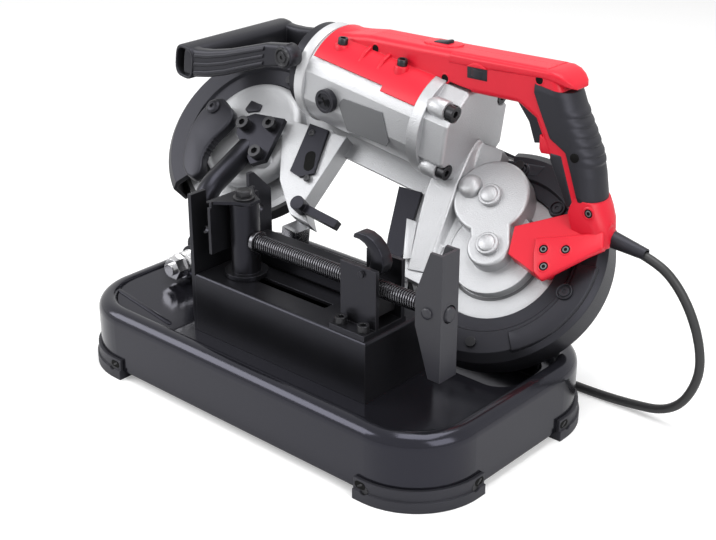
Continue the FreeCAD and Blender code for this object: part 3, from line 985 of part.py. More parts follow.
arm_end = size("collar_left + collar_width / 2")
for side in (-1, 1):
    near = size("bar_front + arm_thick / 2" if side < 0 else "bar_back - arm_thick / 2")
    far = size(f"motor_y + {side} * arm_spread")
    sections = []
    for along_share, rise_share, tall_share, thick_share in ARM_SHARES:
        sections.append(arm_section(bar_line.x + along_share * (arm_end - bar_line.x), near + rise_share * (far - near),
                                    size("bar_z") + rise_share * size("arm_rise"),
                                    tall_share * size("arm_tall"), thick_share * size("arm_thick")))
    loop = loop.fuse(Part.makeLoft(sections, True, True))
    boss = Vector(arm_end, far, size("bar_z + arm_rise"))
    inward = AY * -side
    loop = loop.fuse(pin("yoke_boss", "-arm_thick / 2", "arm_thick", boss, inward))
loop = loop.cut(pin("bar_bore", "bar_front", "bar_front + bar_depth", bar_line, AY))
loop = loop.cut(pin("collar_outer + 2 * shaft_play", "bar_x - motor_left + collar_left", "motor_left", motor_line, AX))
loop = loop.cut(pin("motor + 2 * saddle + 2 * shaft_play", "motor_left", "motor_right", motor_line, AX))
wheel_axis = Vector(0, -1, 1).normalize()
loop = loop.cut(pin("2 * guard_radius + 4 * screw_play", "guard_back - screw_play", f"{GUARD_TOP} + screw_play",
                    Vector(-size("wheel_spacing"), 0, 0), wheel_axis))
solid("front_handle", loop, SAW)

# Cord: strain relief, free stretch to the bench, spiral coil in two layers behind the base, plug
strain_root = Vector(size("strain_x"), size("motor_y"), size("strain_z"))
relief = Part.makeCone(size("strain") / 2, size("strain_tip") / 2, size("strain_length"), strain_root, AX)
relief = relief.cut(pin("cord", "0", "strain_length", strain_root, AX))
solid("strain_relief", relief, SAW)

# Free stretch: out of the strain relief, down beside the base, along the bench to the coil
CORD_ROUTE = ((274, 128, 132), (292, 132, 94), (296, 135, 54), (274, 137, 13), (224, 138, 4.2),
              (172, 135, 4), (126, 137, 4), (86, 135, 4))
coil_centre = Vector(size("coil_x"), size("coil_y"), size("cord / 2"))
coil_start = coil_centre - AY * size("coil_radius")
cord_spots = [SAW.multVec(strain_root), SAW.multVec(strain_root + AX * size("strain_length + cord"))]
cord_spots += [Vector(*spot) for spot in CORD_ROUTE]
cord_spots += [Vector(size("coil_x + 2.5 * cord"), coil_start.y, coil_start.z), coil_start]
bends.clear()
cord_path = bent_wire(cord_spots)
print("cord bends in mm:", [round(bend) for bend in bends], "length", round(cord_path.Length))
solid("cord", tube(cord_path, "cord"))


def half_turn(start_y, end_y, side, height):
    """Half circle of the coil from one point of its middle line to another."""
    middle = Vector(coil_centre.x + side * abs(end_y - start_y) / 2, coil_centre.y + (start_y + end_y) / 2, height)
    return Part.Arc(Vector(coil_centre.x, coil_centre.y + start_y, height), middle,
                    Vector(coil_centre.x, coil_centre.y + end_y, height)).toShape()


# Coil: spirals in on the bench, climbs one layer in a half turn, and spirals out again on top
outer = size("coil_radius")
step = size("coil_pitch / 2")
crossings = [(-1) ** (k + 1) * (outer - k * step) for k in range(2 * int(size("coil_loops")))]
low = coil_centre.z
high = low + size("coil_pitch")
turns = [half_turn(start, end, -1 if start < 0 else 1, low) for start, end in zip(crossings, crossings[1:])]
inner = crossings[-1]
climb_radius = math.hypot(inner, (high - low) / 2)
turns.append(Part.Arc(Vector(coil_centre.x, coil_centre.y + inner, low),
                      Vector(coil_centre.x + math.copysign(climb_radius, inner), coil_centre.y, (low + high) / 2),
                      Vector(coil_centre.x, coil_centre.y - inner, high)).toShape())
outward = [-value for value in reversed(crossings)]
turns += [half_turn(start, end, -1 if start < 0 else 1, high) for start, end in zip(outward, outward[1:])]
coil_end = Vector(coil_centre.x, coil_centre.y + outward[-1], high)
turns.append(Part.LineSegment(coil_end, coil_end + AX * size("coil_tail")).toShape())
coil_path = Part.Wire(turns)
print("coil length", round(coil_path.Length))
coil_points = coil_path.discretize(Distance=size("cord / 2"))
apart = int(math.pi * size("cord"))
least = min(first.distanceToPoint(second) for index, first in enumerate(coil_points)
            for second in coil_points[index + apart:])
print("least gap of the coil to itself", round(least - size("cord"), 2))
solid("cord_coil", tube(coil_path, "cord"))

plug_root = coil_end + AX * size("coil_tail")
plug = pin("plug", "0", "plug_length", plug_root, AX)
plug = plug.makeFillet(size("plug_pin"), [edge for edge in plug.Edges if level_edges(AX, f"{plug_root.x}")(edge)])
for side in (-1, 1):
    plug = plug.fuse(pin("plug_pin", "plug_length", "plug_length + plug_pin_length",
                         plug_root + AY * side * size("plug_pin_gap / 2") * 0.9, AX))
solid("plug", plug.removeSplitter())

doc.recompute()
for piece in pieces:
    if "Invalid" in piece.State or "Error" in piece.State or piece.Shape.isNull() or not piece.Shape.isValid():
        raise ValueError(f"{piece.Label} is not sound: {piece.State}")
for item in doc.Objects:
    if "Invalid" in item.State or "Error" in item.State:
        raise ValueError(f"{item.Label} failed")
os.makedirs("parts", exist_ok=True)
for piece in pieces:
    piece.Shape.exportStep(f"parts/{piece.Label}.step")
    print(piece.Label, len(piece.Shape.Solids), round(piece.Shape.Volume), [round(v) for v in (
        piece.Shape.BoundBox.XMin, piece.Shape.BoundBox.XMax, piece.Shape.BoundBox.YMin, piece.Shape.BoundBox.YMax,
        piece.Shape.BoundBox.ZMin, piece.Shape.BoundBox.ZMax)])
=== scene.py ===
"""Portable band saw on its bench stand with a screw vise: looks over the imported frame."""
import math

import bmesh
import bpy
from mathutils import Matrix, Vector


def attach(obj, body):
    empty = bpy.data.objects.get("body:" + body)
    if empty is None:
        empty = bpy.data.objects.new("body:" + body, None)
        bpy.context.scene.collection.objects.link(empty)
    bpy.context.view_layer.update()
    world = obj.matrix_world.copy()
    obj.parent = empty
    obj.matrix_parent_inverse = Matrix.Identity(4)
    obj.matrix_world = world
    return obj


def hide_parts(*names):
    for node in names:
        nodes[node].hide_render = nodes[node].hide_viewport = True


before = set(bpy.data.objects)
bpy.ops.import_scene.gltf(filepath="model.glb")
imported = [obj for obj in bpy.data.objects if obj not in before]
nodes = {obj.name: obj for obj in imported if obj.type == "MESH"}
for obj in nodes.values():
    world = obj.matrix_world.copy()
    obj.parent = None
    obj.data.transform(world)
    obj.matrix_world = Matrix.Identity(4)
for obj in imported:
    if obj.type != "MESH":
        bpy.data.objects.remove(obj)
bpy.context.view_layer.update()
scene = bpy.context.scene
scene.view_settings.view_transform = "Standard"

# Camera: stands to the right of the operator's place, at the photograph's height and distance.
# It has no shift and no depth of field.
turned_right = 41.8
looking_down = 24.5
view = bpy.data.cameras.new("photo_view")
view.sensor_width = 36.0
view.lens = 69.03
view.clip_end = 20.0
camera = bpy.data.objects.new("photo_view", view)
camera.location = (0.7500, -0.7993, 0.6099)
camera.rotation_euler = (math.radians(90 - looking_down), 0.0, math.radians(turned_right))
scene.collection.objects.link(camera)
scene.camera = camera

# Studio: a pale floor without a horizon, a white surround and three soft boxes.
# The surround is white where it is seen or mirrored, and dimmer as a lamp.
world = bpy.data.worlds.new("white_surround")
scene.world = world
world.use_nodes = True
sky = world.node_tree
backdrop = sky.nodes["Background"]
ray = sky.nodes.new("ShaderNodeLightPath")
seen = sky.nodes.new("ShaderNodeMath")
seen.operation = "MAXIMUM"
sky.links.new(ray.outputs["Is Camera Ray"], seen.inputs[0])
sky.links.new(ray.outputs["Is Transmission Ray"], seen.inputs[1])
mirrored = sky.nodes.new("ShaderNodeMath")
mirrored.operation = "MAXIMUM"
sky.links.new(seen.outputs[0], mirrored.inputs[0])
sky.links.new(ray.outputs["Is Glossy Ray"], mirrored.inputs[1])
level = sky.nodes.new("ShaderNodeMapRange")
level.inputs["To Min"].default_value = 0.42
level.inputs["To Max"].default_value = 1.0
sky.links.new(mirrored.outputs[0], level.inputs["Value"])
sky.links.new(level.outputs["Result"], backdrop.inputs["Strength"])
backdrop.inputs["Color"].default_value = (1.0, 1.0, 1.0, 1.0)


def soft_box(name, place, aim, width, height, power):
    """Rectangular lamp that looks at a point of the object."""
    lamp = bpy.data.lights.new(name, "AREA")
    lamp.shape = "RECTANGLE"
    lamp.size = width
    lamp.size_y = height
    lamp.energy = power
    box = bpy.data.objects.new(name, lamp)
    box.location = place
    box.rotation_euler = (Vector(aim) - Vector(place)).to_track_quat("-Z", "Y").to_euler()
    scene.collection.objects.link(box)


soft_box("left_box", (-1.2, -1.1, 1.1), (0, 0, 0.12), 1.2, 1.0, 22)
soft_box("top_box", (0.2, 0.1, 1.7), (0, 0, 0.1), 1.3, 1.0, 20)
soft_box("right_box", (1.5, -0.3, 0.9), (0, 0, 0.15), 0.9, 1.1, 13)

sheet = bmesh.new()
bmesh.ops.create_grid(sheet, x_segments=1, y_segments=1, size=6.0)
paper = bpy.data.meshes.new("floor_paper")
sheet.to_mesh(paper)
sheet.free()
floor = bpy.data.objects.new("floor_paper", paper)
floor.location = (0, 0, -0.0002)
scene.collection.objects.link(floor)
pale = bpy.data.materials.new("pale_paper")
pale.use_nodes = True
paint = pale.node_tree.nodes["Principled BSDF"]
paint.inputs["Base Color"].default_value = (0.86, 0.86, 0.86, 1)
paint.inputs["Roughness"].default_value = 0.9
paint.inputs["Specular IOR Level"].default_value = 0.1
lift = pale.node_tree.nodes.new("ShaderNodeLightPath")
pale.node_tree.links.new(lift.outputs["Is Camera Ray"], paint.inputs["Emission Strength"])
paint.inputs["Emission Color"].default_value = (0.28, 0.28, 0.28, 1)
paper.materials.append(pale)

# Base tray: one deep-drawn steel pan, powder coated in gloss black with a slight orange peel.
# The coating's effect serves all finishes: grain in the normal, slow drifts of tone and gloss,
# edges that are a little rounded, and rubbed edges that show another tone.
surface = bpy.data.node_groups.new("worked_surface", "ShaderNodeTree")
middle_grey = (0.5, 0.5, 0.5, 1)
for name, kind, start in (("Tone", "NodeSocketColor", middle_grey),
                          ("Edge Tone", "NodeSocketColor", middle_grey),
                          ("Drift", "NodeSocketFloat", 0.05),
                          ("Gloss", "NodeSocketFloat", 0.4),
                          ("Gloss Drift", "NodeSocketFloat", 0.06),
                          ("Grain Scale", "NodeSocketFloat", 900.0),
                          ("Grain Depth", "NodeSocketFloat", 0.05),
                          ("Edge Round", "NodeSocketFloat", 0.0008),
                          ("Edge Wear", "NodeSocketFloat", 0.0)):
    socket = surface.interface.new_socket(name, in_out="INPUT", socket_type=kind)
    socket.default_value = start
for name, kind in (("Tone", "NodeSocketColor"),
                   ("Roughness", "NodeSocketFloat"),
                   ("Normal", "NodeSocketVector")):
    surface.interface.new_socket(name, in_out="OUTPUT", socket_type=kind)
inlet = surface.nodes.new("NodeGroupInput")
outlet = surface.nodes.new("NodeGroupOutput")
place = surface.nodes.new("ShaderNodeTexCoord")
grain = surface.nodes.new("ShaderNodeTexNoise")
grain.inputs["Detail"].default_value = 3.0
grain.inputs["Roughness"].default_value = 0.6
surface.links.new(place.outputs["Object"], grain.inputs["Vector"])
surface.links.new(inlet.outputs["Grain Scale"], grain.inputs["Scale"])
cloud = surface.nodes.new("ShaderNodeTexNoise")
cloud.inputs["Scale"].default_value = 28.0
cloud.inputs["Detail"].default_value = 4.0
surface.links.new(place.outputs["Object"], cloud.inputs["Vector"])
rounding = surface.nodes.new("ShaderNodeBevel")
rounding.samples = 6
surface.links.new(inlet.outputs["Edge Round"], rounding.inputs["Radius"])
bump = surface.nodes.new("ShaderNodeBump")
bump.inputs["Distance"].default_value = 0.001
surface.links.new(inlet.outputs["Grain Depth"], bump.inputs["Strength"])
surface.links.new(grain.outputs["Fac"], bump.inputs["Height"])
surface.links.new(rounding.outputs["Normal"], bump.inputs["Normal"])
surface.links.new(bump.outputs["Normal"], outlet.inputs["Normal"])
flat = surface.nodes.new("ShaderNodeNewGeometry")
turned = surface.nodes.new("ShaderNodeVectorMath")
turned.operation = "DOT_PRODUCT"
surface.links.new(rounding.outputs["Normal"], turned.inputs[0])
surface.links.new(flat.outputs["True Normal"], turned.inputs[1])
rubbed = surface.nodes.new("ShaderNodeMapRange")
rubbed.inputs["From Min"].default_value = 0.97
rubbed.inputs["From Max"].default_value = 0.8
surface.links.new(turned.outputs["Value"], rubbed.inputs["Value"])
worn = surface.nodes.new("ShaderNodeMath")
worn.operation = "MULTIPLY"
surface.links.new(rubbed.outputs["Result"], worn.inputs[0])
surface.links.new(inlet.outputs["Edge Wear"], worn.inputs[1])
speck = surface.nodes.new("ShaderNodeMath")
speck.operation = "MULTIPLY"
surface.links.new(worn.outputs[0], speck.inputs[0])
surface.links.new(cloud.outputs["Fac"], speck.inputs[1])
toned = surface.nodes.new("ShaderNodeMix")
toned.data_type = "RGBA"
surface.links.new(speck.outputs[0], toned.inputs["Factor"])
surface.links.new(inlet.outputs["Tone"], toned.inputs["A"])
surface.links.new(inlet.outputs["Edge Tone"], toned.inputs["B"])
swing = surface.nodes.new("ShaderNodeMath")
swing.operation = "SUBTRACT"
swing.inputs[1].default_value = 0.5
surface.links.new(cloud.outputs["Fac"], swing.inputs[0])
drift = surface.nodes.new("ShaderNodeMath")
drift.operation = "MULTIPLY_ADD"
drift.inputs[2].default_value = 1.0
surface.links.new(swing.outputs[0], drift.inputs[0])
surface.links.new(inlet.outputs["Drift"], drift.inputs[1])
shaded = surface.nodes.new("ShaderNodeVectorMath")
shaded.operation = "SCALE"
surface.links.new(toned.outputs["Result"], shaded.inputs[0])
surface.links.new(drift.outputs[0], shaded.inputs["Scale"])
surface.links.new(shaded.outputs["Vector"], outlet.inputs["Tone"])
gloss = surface.nodes.new("ShaderNodeMath")
gloss.operation = "MULTIPLY_ADD"
surface.links.new(swing.outputs[0], gloss.inputs[0])
surface.links.new(inlet.outputs["Gloss Drift"], gloss.inputs[1])
surface.links.new(inlet.outputs["Gloss"], gloss.inputs[2])
surface.links.new(gloss.outputs[0], outlet.inputs["Roughness"])


def finish(name, tone, **values):
    """Material with the worked surface; values are the group's sockets and the shader's own."""
    made = bpy.data.materials.new(name)
    made.use_nodes = True
    tree = made.node_tree
    shader = tree.nodes["Principled BSDF"]
    worked = tree.nodes.new("ShaderNodeGroup")
    worked.node_tree = surface
    worked.inputs["Tone"].default_value = (*tone, 1)
    worked.inputs["Edge Tone"].default_value = (*values.pop("edge_tone", tone), 1)
    for key, value in values.items():
        title = key.replace("_", " ").title().replace("Ior", "IOR")
        target = worked if title in worked.inputs else shader
        target.inputs[title].default_value = value
    tree.links.new(worked.outputs["Tone"], shader.inputs["Base Color"])
    tree.links.new(worked.outputs["Roughness"], shader.inputs["Roughness"])
    tree.links.new(worked.outputs["Normal"], shader.inputs["Normal"])
    return made


def dress(material, *names):
    """Gives CAD nodes their finish."""
    for name in names:
        mesh = nodes[name].data
        mesh.materials.clear()
        mesh.materials.append(material)


def raise_piece(name, form, material, body, sharp=40):
    """Object made from a bmesh that is already in place, riding on a body."""
    bmesh.ops.remove_doubles(form, verts=form.verts, dist=0.000002)
    bmesh.ops.recalc_face_normals(form, faces=form.faces)
    data = bpy.data.meshes.new(name)
    form.to_mesh(data)
    form.free()
    data.shade_smooth()
    data.set_sharp_from_angle(angle=math.radians(sharp))
    data.materials.append(material)
    made = bpy.data.objects.new(name, data)
    scene.collection.objects.link(made)
    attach(made, body)
    return made


def shifted(x, y, z):
    """Place moved along its own axes."""
    return Matrix.Translation((x, y, z))


def rotated(degrees, axis):
    """Place turned about one of its own axes."""
    return Matrix.Rotation(math.radians(degrees), 4, axis)


def slab(form, outline, low, high, place, edge=0.0, steps=2):
    """Prism between two levels of a place, its edges rounded."""
    before = set(form.verts)
    base = form.faces.new([form.verts.new((x, y, low)) for x, y in outline])
    raised = bmesh.ops.extrude_face_region(form, geom=[base])["geom"]
    upper = [item for item in raised if isinstance(item, bmesh.types.BMVert)]
    bmesh.ops.translate(form, vec=(0, 0, high - low), verts=upper)
    if edge:
        fresh = {v for v in form.verts if v not in before}
        sides = [e for e in form.edges if e.verts[0] in fresh and e.verts[1] in fresh]
        bmesh.ops.bevel(form, geom=sides, offset=edge, segments=steps, profile=0.5,
                        affect="EDGES", material=-1, clamp_overlap=True)
    bmesh.ops.transform(form, matrix=place, verts=[v for v in form.verts if v not in before])


def oblong(x, y, length, width, steps=10):
    """Outline with round ends."""
    half = (length - width) / 2
    radius = width / 2
    points = []
    for k in range(2 * steps + 2):
        right_end = k <= steps
        turn = math.pi * (k if right_end else k - 1) / steps - math.pi / 2
        centre = x + (half if right_end else -half)
        points.append((centre + radius * math.cos(turn), y + radius * math.sin(turn)))
    return points


mm = Matrix.Scale(0.001, 4)
cool_sheen = (0.80, 0.80, 1, 1)
faint_cool_sheen = (0.85, 0.85, 1, 1)
black_gloss = finish("tray_black_gloss", (0.007, 0.007, 0.009), gloss=0.15, gloss_drift=0.06,
                     grain_scale=420.0, grain_depth=0.04, edge_round=0.0015, drift=0.2,
                     specular_ior_level=0.40, specular_tint=cool_sheen)
dress(black_gloss, "base_tray")
deck_left = -195
deck_right = -108
deck_half = 104.5
deck_floor = 46.5
deck_top = 62
deck_fall = 0.158
corner_x = -150
corner_y = 59
corner_radius = 45.5
corner_steps = 8
deck = bmesh.new()
deck_line = [(deck_right, -deck_half), (deck_right, deck_half)]
for side in (1, -1):
    for k in range(corner_steps + 1):
        turn = math.pi / 2 * (k if side > 0 else corner_steps - k) / corner_steps
        deck_line.append((corner_x - corner_radius * math.sin(turn),
                          side * (corner_y + corner_radius * math.cos(turn))))
slab(deck, deck_line, deck_floor, deck_top, Matrix.Identity(4))
for corner in deck.verts:
    if corner.co.z > (deck_floor + deck_top) / 2:
        corner.co.z = deck_top - deck_fall * (corner.co.x - deck_left)
bmesh.ops.transform(deck, matrix=mm, verts=deck.verts)
raise_piece("tray_deck", deck, black_gloss, "stand")
bead = bmesh.new()
bead_y = -84
on_deck = mm @ shifted(deck_left, bead_y, deck_top) @ Matrix.Rotation(math.atan(deck_fall), 4, "Y")
slab(bead, oblong(42, 0, 74, 4.5), -0.6, 0.9, on_deck, 0.5, 3)
raise_piece("tray_bead", bead, black_gloss, "stand")

# Corner feet: moulded rubber round the tray's lip, each held by two screws.
# The screws sit in long wells of the upper tier, drawn as flat black patches of painted shade, and each has a
# straight bar across its head.
foot_rubber = finish("foot_rubber", (0.018, 0.018, 0.021), gloss=0.48, grain_scale=1500.0,
                     grain_depth=0.12, edge_round=0.0012, specular_ior_level=0.4,
                     specular_tint=faint_cool_sheen)
dress(foot_rubber, "corner_feet")
dark_steel = finish("blackened_steel", (0.030, 0.030, 0.033), gloss=0.34, metallic=0.7,
                    grain_scale=700.0, grain_depth=0.04, edge_round=0.0004,
                    edge_tone=(0.25, 0.25, 0.26), edge_wear=0.5)
# shadow_black is near black for painted shade in wells, slots, holes and recesses.
shadow_black = finish("shadow_black", (0.004, 0.004, 0.004), gloss=0.7, specular_ior_level=0.1)
dress(dark_steel, "foot_screws", "carriage_bolts", "arm_screws", "gear_head_bolts",
      "housing_screws", "half_nut", "idler_slide")
half_length = 212
half_width = 122
foot_proud = 3.0
foot_screw_level = 14
foot_well_shade = bmesh.new()
foot_bars = bmesh.new()
for turn, reach, along in ((0, half_width, 149), (180, half_width, 149),
                           (90, half_length, 58.5), (-90, half_length, 58.5)):
    for side in (1, -1):
        spot = (rotated(turn, "Z") @ shifted(side * along, -reach - foot_proud, foot_screw_level)
                @ rotated(90, "X"))
        # Each well is a flat black patch: painted shade.
        slab(foot_well_shade, oblong(0, 0, 11, 6.4), -0.5, 0.12, mm @ spot)
        slab(foot_bars, oblong(0, 0, 6, 1.6, 4), -0.2, 0.3, mm @ spot @ rotated(35, "Z"))
raise_piece("foot_screw_well_shade", foot_well_shade, shadow_black, "stand")
raise_piece("foot_screw_blades", foot_bars, dark_steel, "stand")

# Vise: welded and folded plate in satin black paint that is a little rubbed on its edges.
# The moving jaw's bolt is a hexagon head on a flat washer.
black_paint = finish("vise_black_paint", (0.007, 0.007, 0.008), gloss=0.30, gloss_drift=0.08,
                     grain_scale=650.0, grain_depth=0.05, edge_round=0.0007,
                     edge_tone=(0.09, 0.09, 0.095), edge_wear=0.8, drift=0.3,
                     specular_ior_level=0.30, specular_tint=cool_sheen)
dress(black_paint, "vise_table", "fixed_jaw", "work_rail", "jaw_post", "jaw_face", "nut_carriage",
      "pivot_bracket", "swing_arm", "throat_plate", "work_stop", "clamp_lever")


def lathe(form, profile, place, steps=40):
    """Turned form about the Z axis of a place, from radius and height."""
    before = set(form.verts)
    line = [form.verts.new((radius, 0, height)) for radius, height in profile]
    edges = [form.edges.new(pair) for pair in zip(line, line[1:])]
    bmesh.ops.spin(form, geom=line + edges, cent=(0, 0, 0), axis=(0, 0, 1), angle=2 * math.pi,
                   steps=steps, use_merge=True, use_duplicate=False)
    bmesh.ops.transform(form, matrix=place, verts=[v for v in form.verts if v not in before])


def polygon(sides, across):
    """Regular outline measured across its flats."""
    reach = across / 2 / math.cos(math.pi / sides)
    turns = [2 * math.pi * k / sides for k in range(sides)]
    return [(reach * math.cos(turn), reach * math.sin(turn)) for turn in turns]


def hoop(form, points):
    """Closed line of edges through points."""
    corners = [form.verts.new(point) for point in points]
    return [form.edges.new((corners[k - 1], corners[k])) for k in range(len(corners))]


def skin(form, hoops):
    """Skin bridged from hoop to hoop and closed at both ends."""
    for one, two in zip(hoops, hoops[1:]):
        bmesh.ops.bridge_loops(form, edges=one + two)
    bmesh.ops.edgeloop_fill(form, edges=hoops[0])
    bmesh.ops.edgeloop_fill(form, edges=hoops[-1])


screw_y = -42
screw_z = 138
washer_top = 1.6
head_top = 7.6
jaw_spot = mm @ shifted(-59, screw_y, 175.3)
bolt = bmesh.new()
lathe(bolt, ((4.2, 0), (9.2, 0), (9.5, 0.3), (9.5, 1.3), (9.1, washer_top), (4.2, washer_top)), jaw_spot)
slab(bolt, polygon(6, 13), washer_top, head_top, jaw_spot, 0.5, 2)
lathe(bolt, ((0, head_top), (5.2, head_top), (5.0, 7.9), (0, 8.0)), jaw_spot)
jaw_head = raise_piece("jaw_hexagon_bolt", bolt, dark_steel, "jaw")
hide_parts("jaw_bolt")

# Release lever: forged horn with rounded edges, in the vise's black paint.
# It curves up from its pin between the carriage's cheeks.
horn_line = ((97, 149.5), (103.5, 155), (105.2, 162), (103.6, 169), (99.5, 175.5), (93, 180.6),
             (85.5, 183.4), (78, 183.6), (73.2, 181), (72.6, 177.6), (79, 177.6), (85, 175.4),
             (89.6, 171), (91.6, 165), (90.4, 158), (86, 151))
horn = bmesh.new()
slab(horn, horn_line, 36, 48, mm @ rotated(90, "X"), 1.1, 3)
lever = raise_piece("release_horn", horn, black_paint, "release_lever", 50)
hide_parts("release_lever")

# Crank: folded sheet in a satin charcoal coat, held on the lead screw by a cross pin.
charcoal = finish("crank_charcoal", (0.029, 0.029, 0.036), gloss=0.36, gloss_drift=0.06,
                  grain_scale=900.0, grain_depth=0.05, edge_round=0.0008, specular_ior_level=0.35,
                  edge_tone=(0.14, 0.14, 0.15), edge_wear=0.7)
dress(charcoal, "crank_handle")

# Lead screw: blackened steel with a two-start thread of 5 mm lead and a collar, turning in the post.
# Its domed end and the head of the cross pin have the crank's coat.
lead = 5.0
turns = 41
steps_each = 28
root = 6.1
crest = 7.45
tooth = ((0, root), (0.55, root), (0.95, crest), (1.55, crest), (1.95, root), (2.5, root))
thread = bmesh.new()
line = [thread.verts.new((x, 0, r)) for x, r in tooth]
line += [thread.verts.new((x + lead / 2, 0, r)) for x, r in tooth[1:]]
flank = [thread.edges.new(pair) for pair in zip(line, line[1:])]
bmesh.ops.spin(thread, geom=line + flank, cent=(0, 0, 0), axis=(1, 0, 0),
               dvec=(lead / steps_each, 0, 0), angle=2 * math.pi * turns,
               steps=turns * steps_each, use_merge=False, use_duplicate=False)
bmesh.ops.transform(thread, matrix=mm @ shifted(-43, screw_y, screw_z), verts=thread.verts)
along_screw = mm @ shifted(0, screw_y, screw_z) @ rotated(90, "Y")
lathe(thread, ((0, -64), (5, -64), (5, -45.7), (9.6, -45.7), (10, -45.3), (10, -42.2),
               (9.6, -41.8), (0, -41.8)), along_screw)
screw_steel = finish("screw_black_oxide", (0.13, 0.13, 0.14), gloss=0.22, metallic=0.95,
                     grain_scale=900.0, grain_depth=0.03, edge_round=0.0002)
spindle = raise_piece("lead_screw_thread", thread, screw_steel, "screw", 30)
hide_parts("lead_screw")
tip = bmesh.new()
lathe(tip, ((0, 160), (6.6, 160), (6.6, 168.2), (5.6, 169.6), (2, 170.2), (0, 170.3)), along_screw)
raise_piece("lead_screw_tip", tip, charcoal, "screw")
pin_head = bmesh.new()
lathe(pin_head, ((0, -0.5), (4.9, -0.5), (4.9, 1.2), (4.3, 2.0), (2.4, 2.5), (0, 2.6)),
      mm @ shifted(154, -52.4, screw_z) @ rotated(90, "X"))
raise_piece("crank_pin_head", pin_head, charcoal, "screw")

# Pivot of the saw: zinc plated bolt, nut and disc springs.
# The bare steel pieces of the drive, the guides and the blade share the finish.
zinc = finish("bright_zinc", (0.66, 0.66, 0.67), gloss=0.20, gloss_drift=0.12, metallic=1.0,
              grain_scale=800.0, grain_depth=0.03, edge_round=0.0004, drift=0.1)
dress(zinc, "pivot_bolt", "pivot_nut", "pivot_washers", "drive_axle", "counter_gear", "left_guide",
      "right_guide", "blade")

# Saw castings: die-cast aluminium in a sandy silver paint, and a bare grey name plate on the motor.
# The saw is tilted on its stand, and its wheels lean away from its side face.
silver_paint = finish("sandy_silver_paint", (0.43, 0.435, 0.45), gloss=0.38, gloss_drift=0.08,
                      metallic=0.55, grain_scale=850.0, grain_depth=0.34, edge_round=0.0012,
                      drift=0.08)
dress(silver_paint, "saw_frame", "gear_cover", "motor_housing", "gear_head", "drive_wheel",
      "idler_wheel")
light_grey = finish("satin_grey", (0.60, 0.605, 0.62), gloss=0.32, metallic=0.3, grain_scale=900.0,
                    grain_depth=0.08, edge_round=0.0008)
plate_grey = finish("bare_plate_grey", (0.115, 0.118, 0.125), gloss=0.40, grain_scale=1400.0,
                    grain_depth=0.05, edge_round=0.0004)
dress(plate_grey, "name_plate")
saw_tilt = 8
wheel_lean = 45
saw = shifted(0.110, 0.097, 0.1255) @ rotated(saw_tilt, "Y") @ mm
saw_side = saw @ rotated(90, "X")
wheel_face = saw @ rotated(wheel_lean, "X")

# Tyres and windings: rubber bands on the two wheels, and the motor's copper armature.
tyre_rubber = finish("tyre_rubber", (0.03, 0.03, 0.032), gloss=0.7, grain_scale=1200.0, grain_depth=0.1)
dress(tyre_rubber, "drive_tyre", "idler_tyre")
copper = finish("copper_winding", (0.55, 0.27, 0.12), gloss=0.4, metallic=1.0, grain_scale=600.0,
                grain_depth=0.1)
dress(copper, "armature")

# Guards and levers: black glass-filled nylon with a fine grain.
nylon = finish("black_nylon", (0.012, 0.012, 0.014), gloss=0.40, gloss_drift=0.06,
               grain_scale=1300.0, grain_depth=0.10, edge_round=0.0010, drift=0.2,
               specular_ior_level=0.34, specular_tint=faint_cool_sheen,
               edge_tone=(0.06, 0.06, 0.065), edge_wear=0.8)
dress(nylon, "drive_guard", "idler_guard", "blade_cover", "tension_lever", "front_handle", "trigger",
      "lock_rocker", "speed_dial", "brush_cap", "plug", "end_collar")

# Brush cap: screwed nylon cap in the motor's side, with a rim ring, a stepped face and a coin slot.
cap_spot = saw_side @ shifted(-198, 78, 20)
cap = bmesh.new()
lathe(cap, ((0, 0), (7.6, 0), (7.9, 0.5), (8.6, 0.6), (8.8, -0.1), (10.2, -0.1), (10.6, -0.6),
            (10.6, -1.4), (0, -1.4)), cap_spot, 48)
raise_piece("brush_cap_face", cap, nylon, "saw")
# The coin slot is a flat black strip of painted shade.
coin_slot_shade = bmesh.new()
slab(coin_slot_shade, oblong(0, 0, 9, 1.8, 4), -0.2, 0.12, cap_spot @ rotated(-55, "Z"))
raise_piece("brush_cap_slot_shade", coin_slot_shade, shadow_black, "saw")

# Handle: red moulded half shells that meet in the saw's middle plane.
red_shell = finish("red_moulding", (0.64, 0.012, 0.030), gloss=0.38, gloss_drift=0.05,
                   grain_scale=1500.0, grain_depth=0.05, edge_round=0.0015, drift=0.1,
                   specular_ior_level=0.3)
dress(red_shell, "handle_front", "handle_back", "handle_foot")
middle_y = 30
shell_half = 18
near_wall = shell_half - middle_y

# Saddle bolts: two black cap screws on round red bosses beside the handle's wall.
# Two gussets stand between them.
bosses = bmesh.new()
lathe(bosses, ((0, 121), (7.2, 121), (6.6, 129), (6.2, 129.6), (0, 129.8)), saw @ shifted(-134, 6, 0))
lathe(bosses, ((0, 120), (7.4, 120), (6.9, 126), (6.4, 126.6), (0, 126.8)), saw @ shifted(-204, 5, 0))
across = saw @ Matrix(((0, 0, 1, 0), (1, 0, 0, 0), (0, 1, 0, 0), (0, 0, 0, 1)))
gusset_width = 3.4
for x in (-178, -156):
    slab(bosses, ((13, 118), (13, 133), (4, 128.5), (-6, 117)), x, x + gusset_width, across, 0.7)
raise_piece("saddle_bosses", bosses, red_shell, "saw")
caps = bmesh.new()
for x, y, z in ((-134, 6, 129.8), (-204, 5, 126.8)):
    lathe(caps, ((0, -1), (4.6, -1), (4.6, 5.2), (4.2, 5.7), (2.6, 5.7), (2.6, 3.2), (0, 3.2)),
          saw @ shifted(x, y, z), 36)
raise_piece("saddle_bolts", caps, dark_steel, "saw")

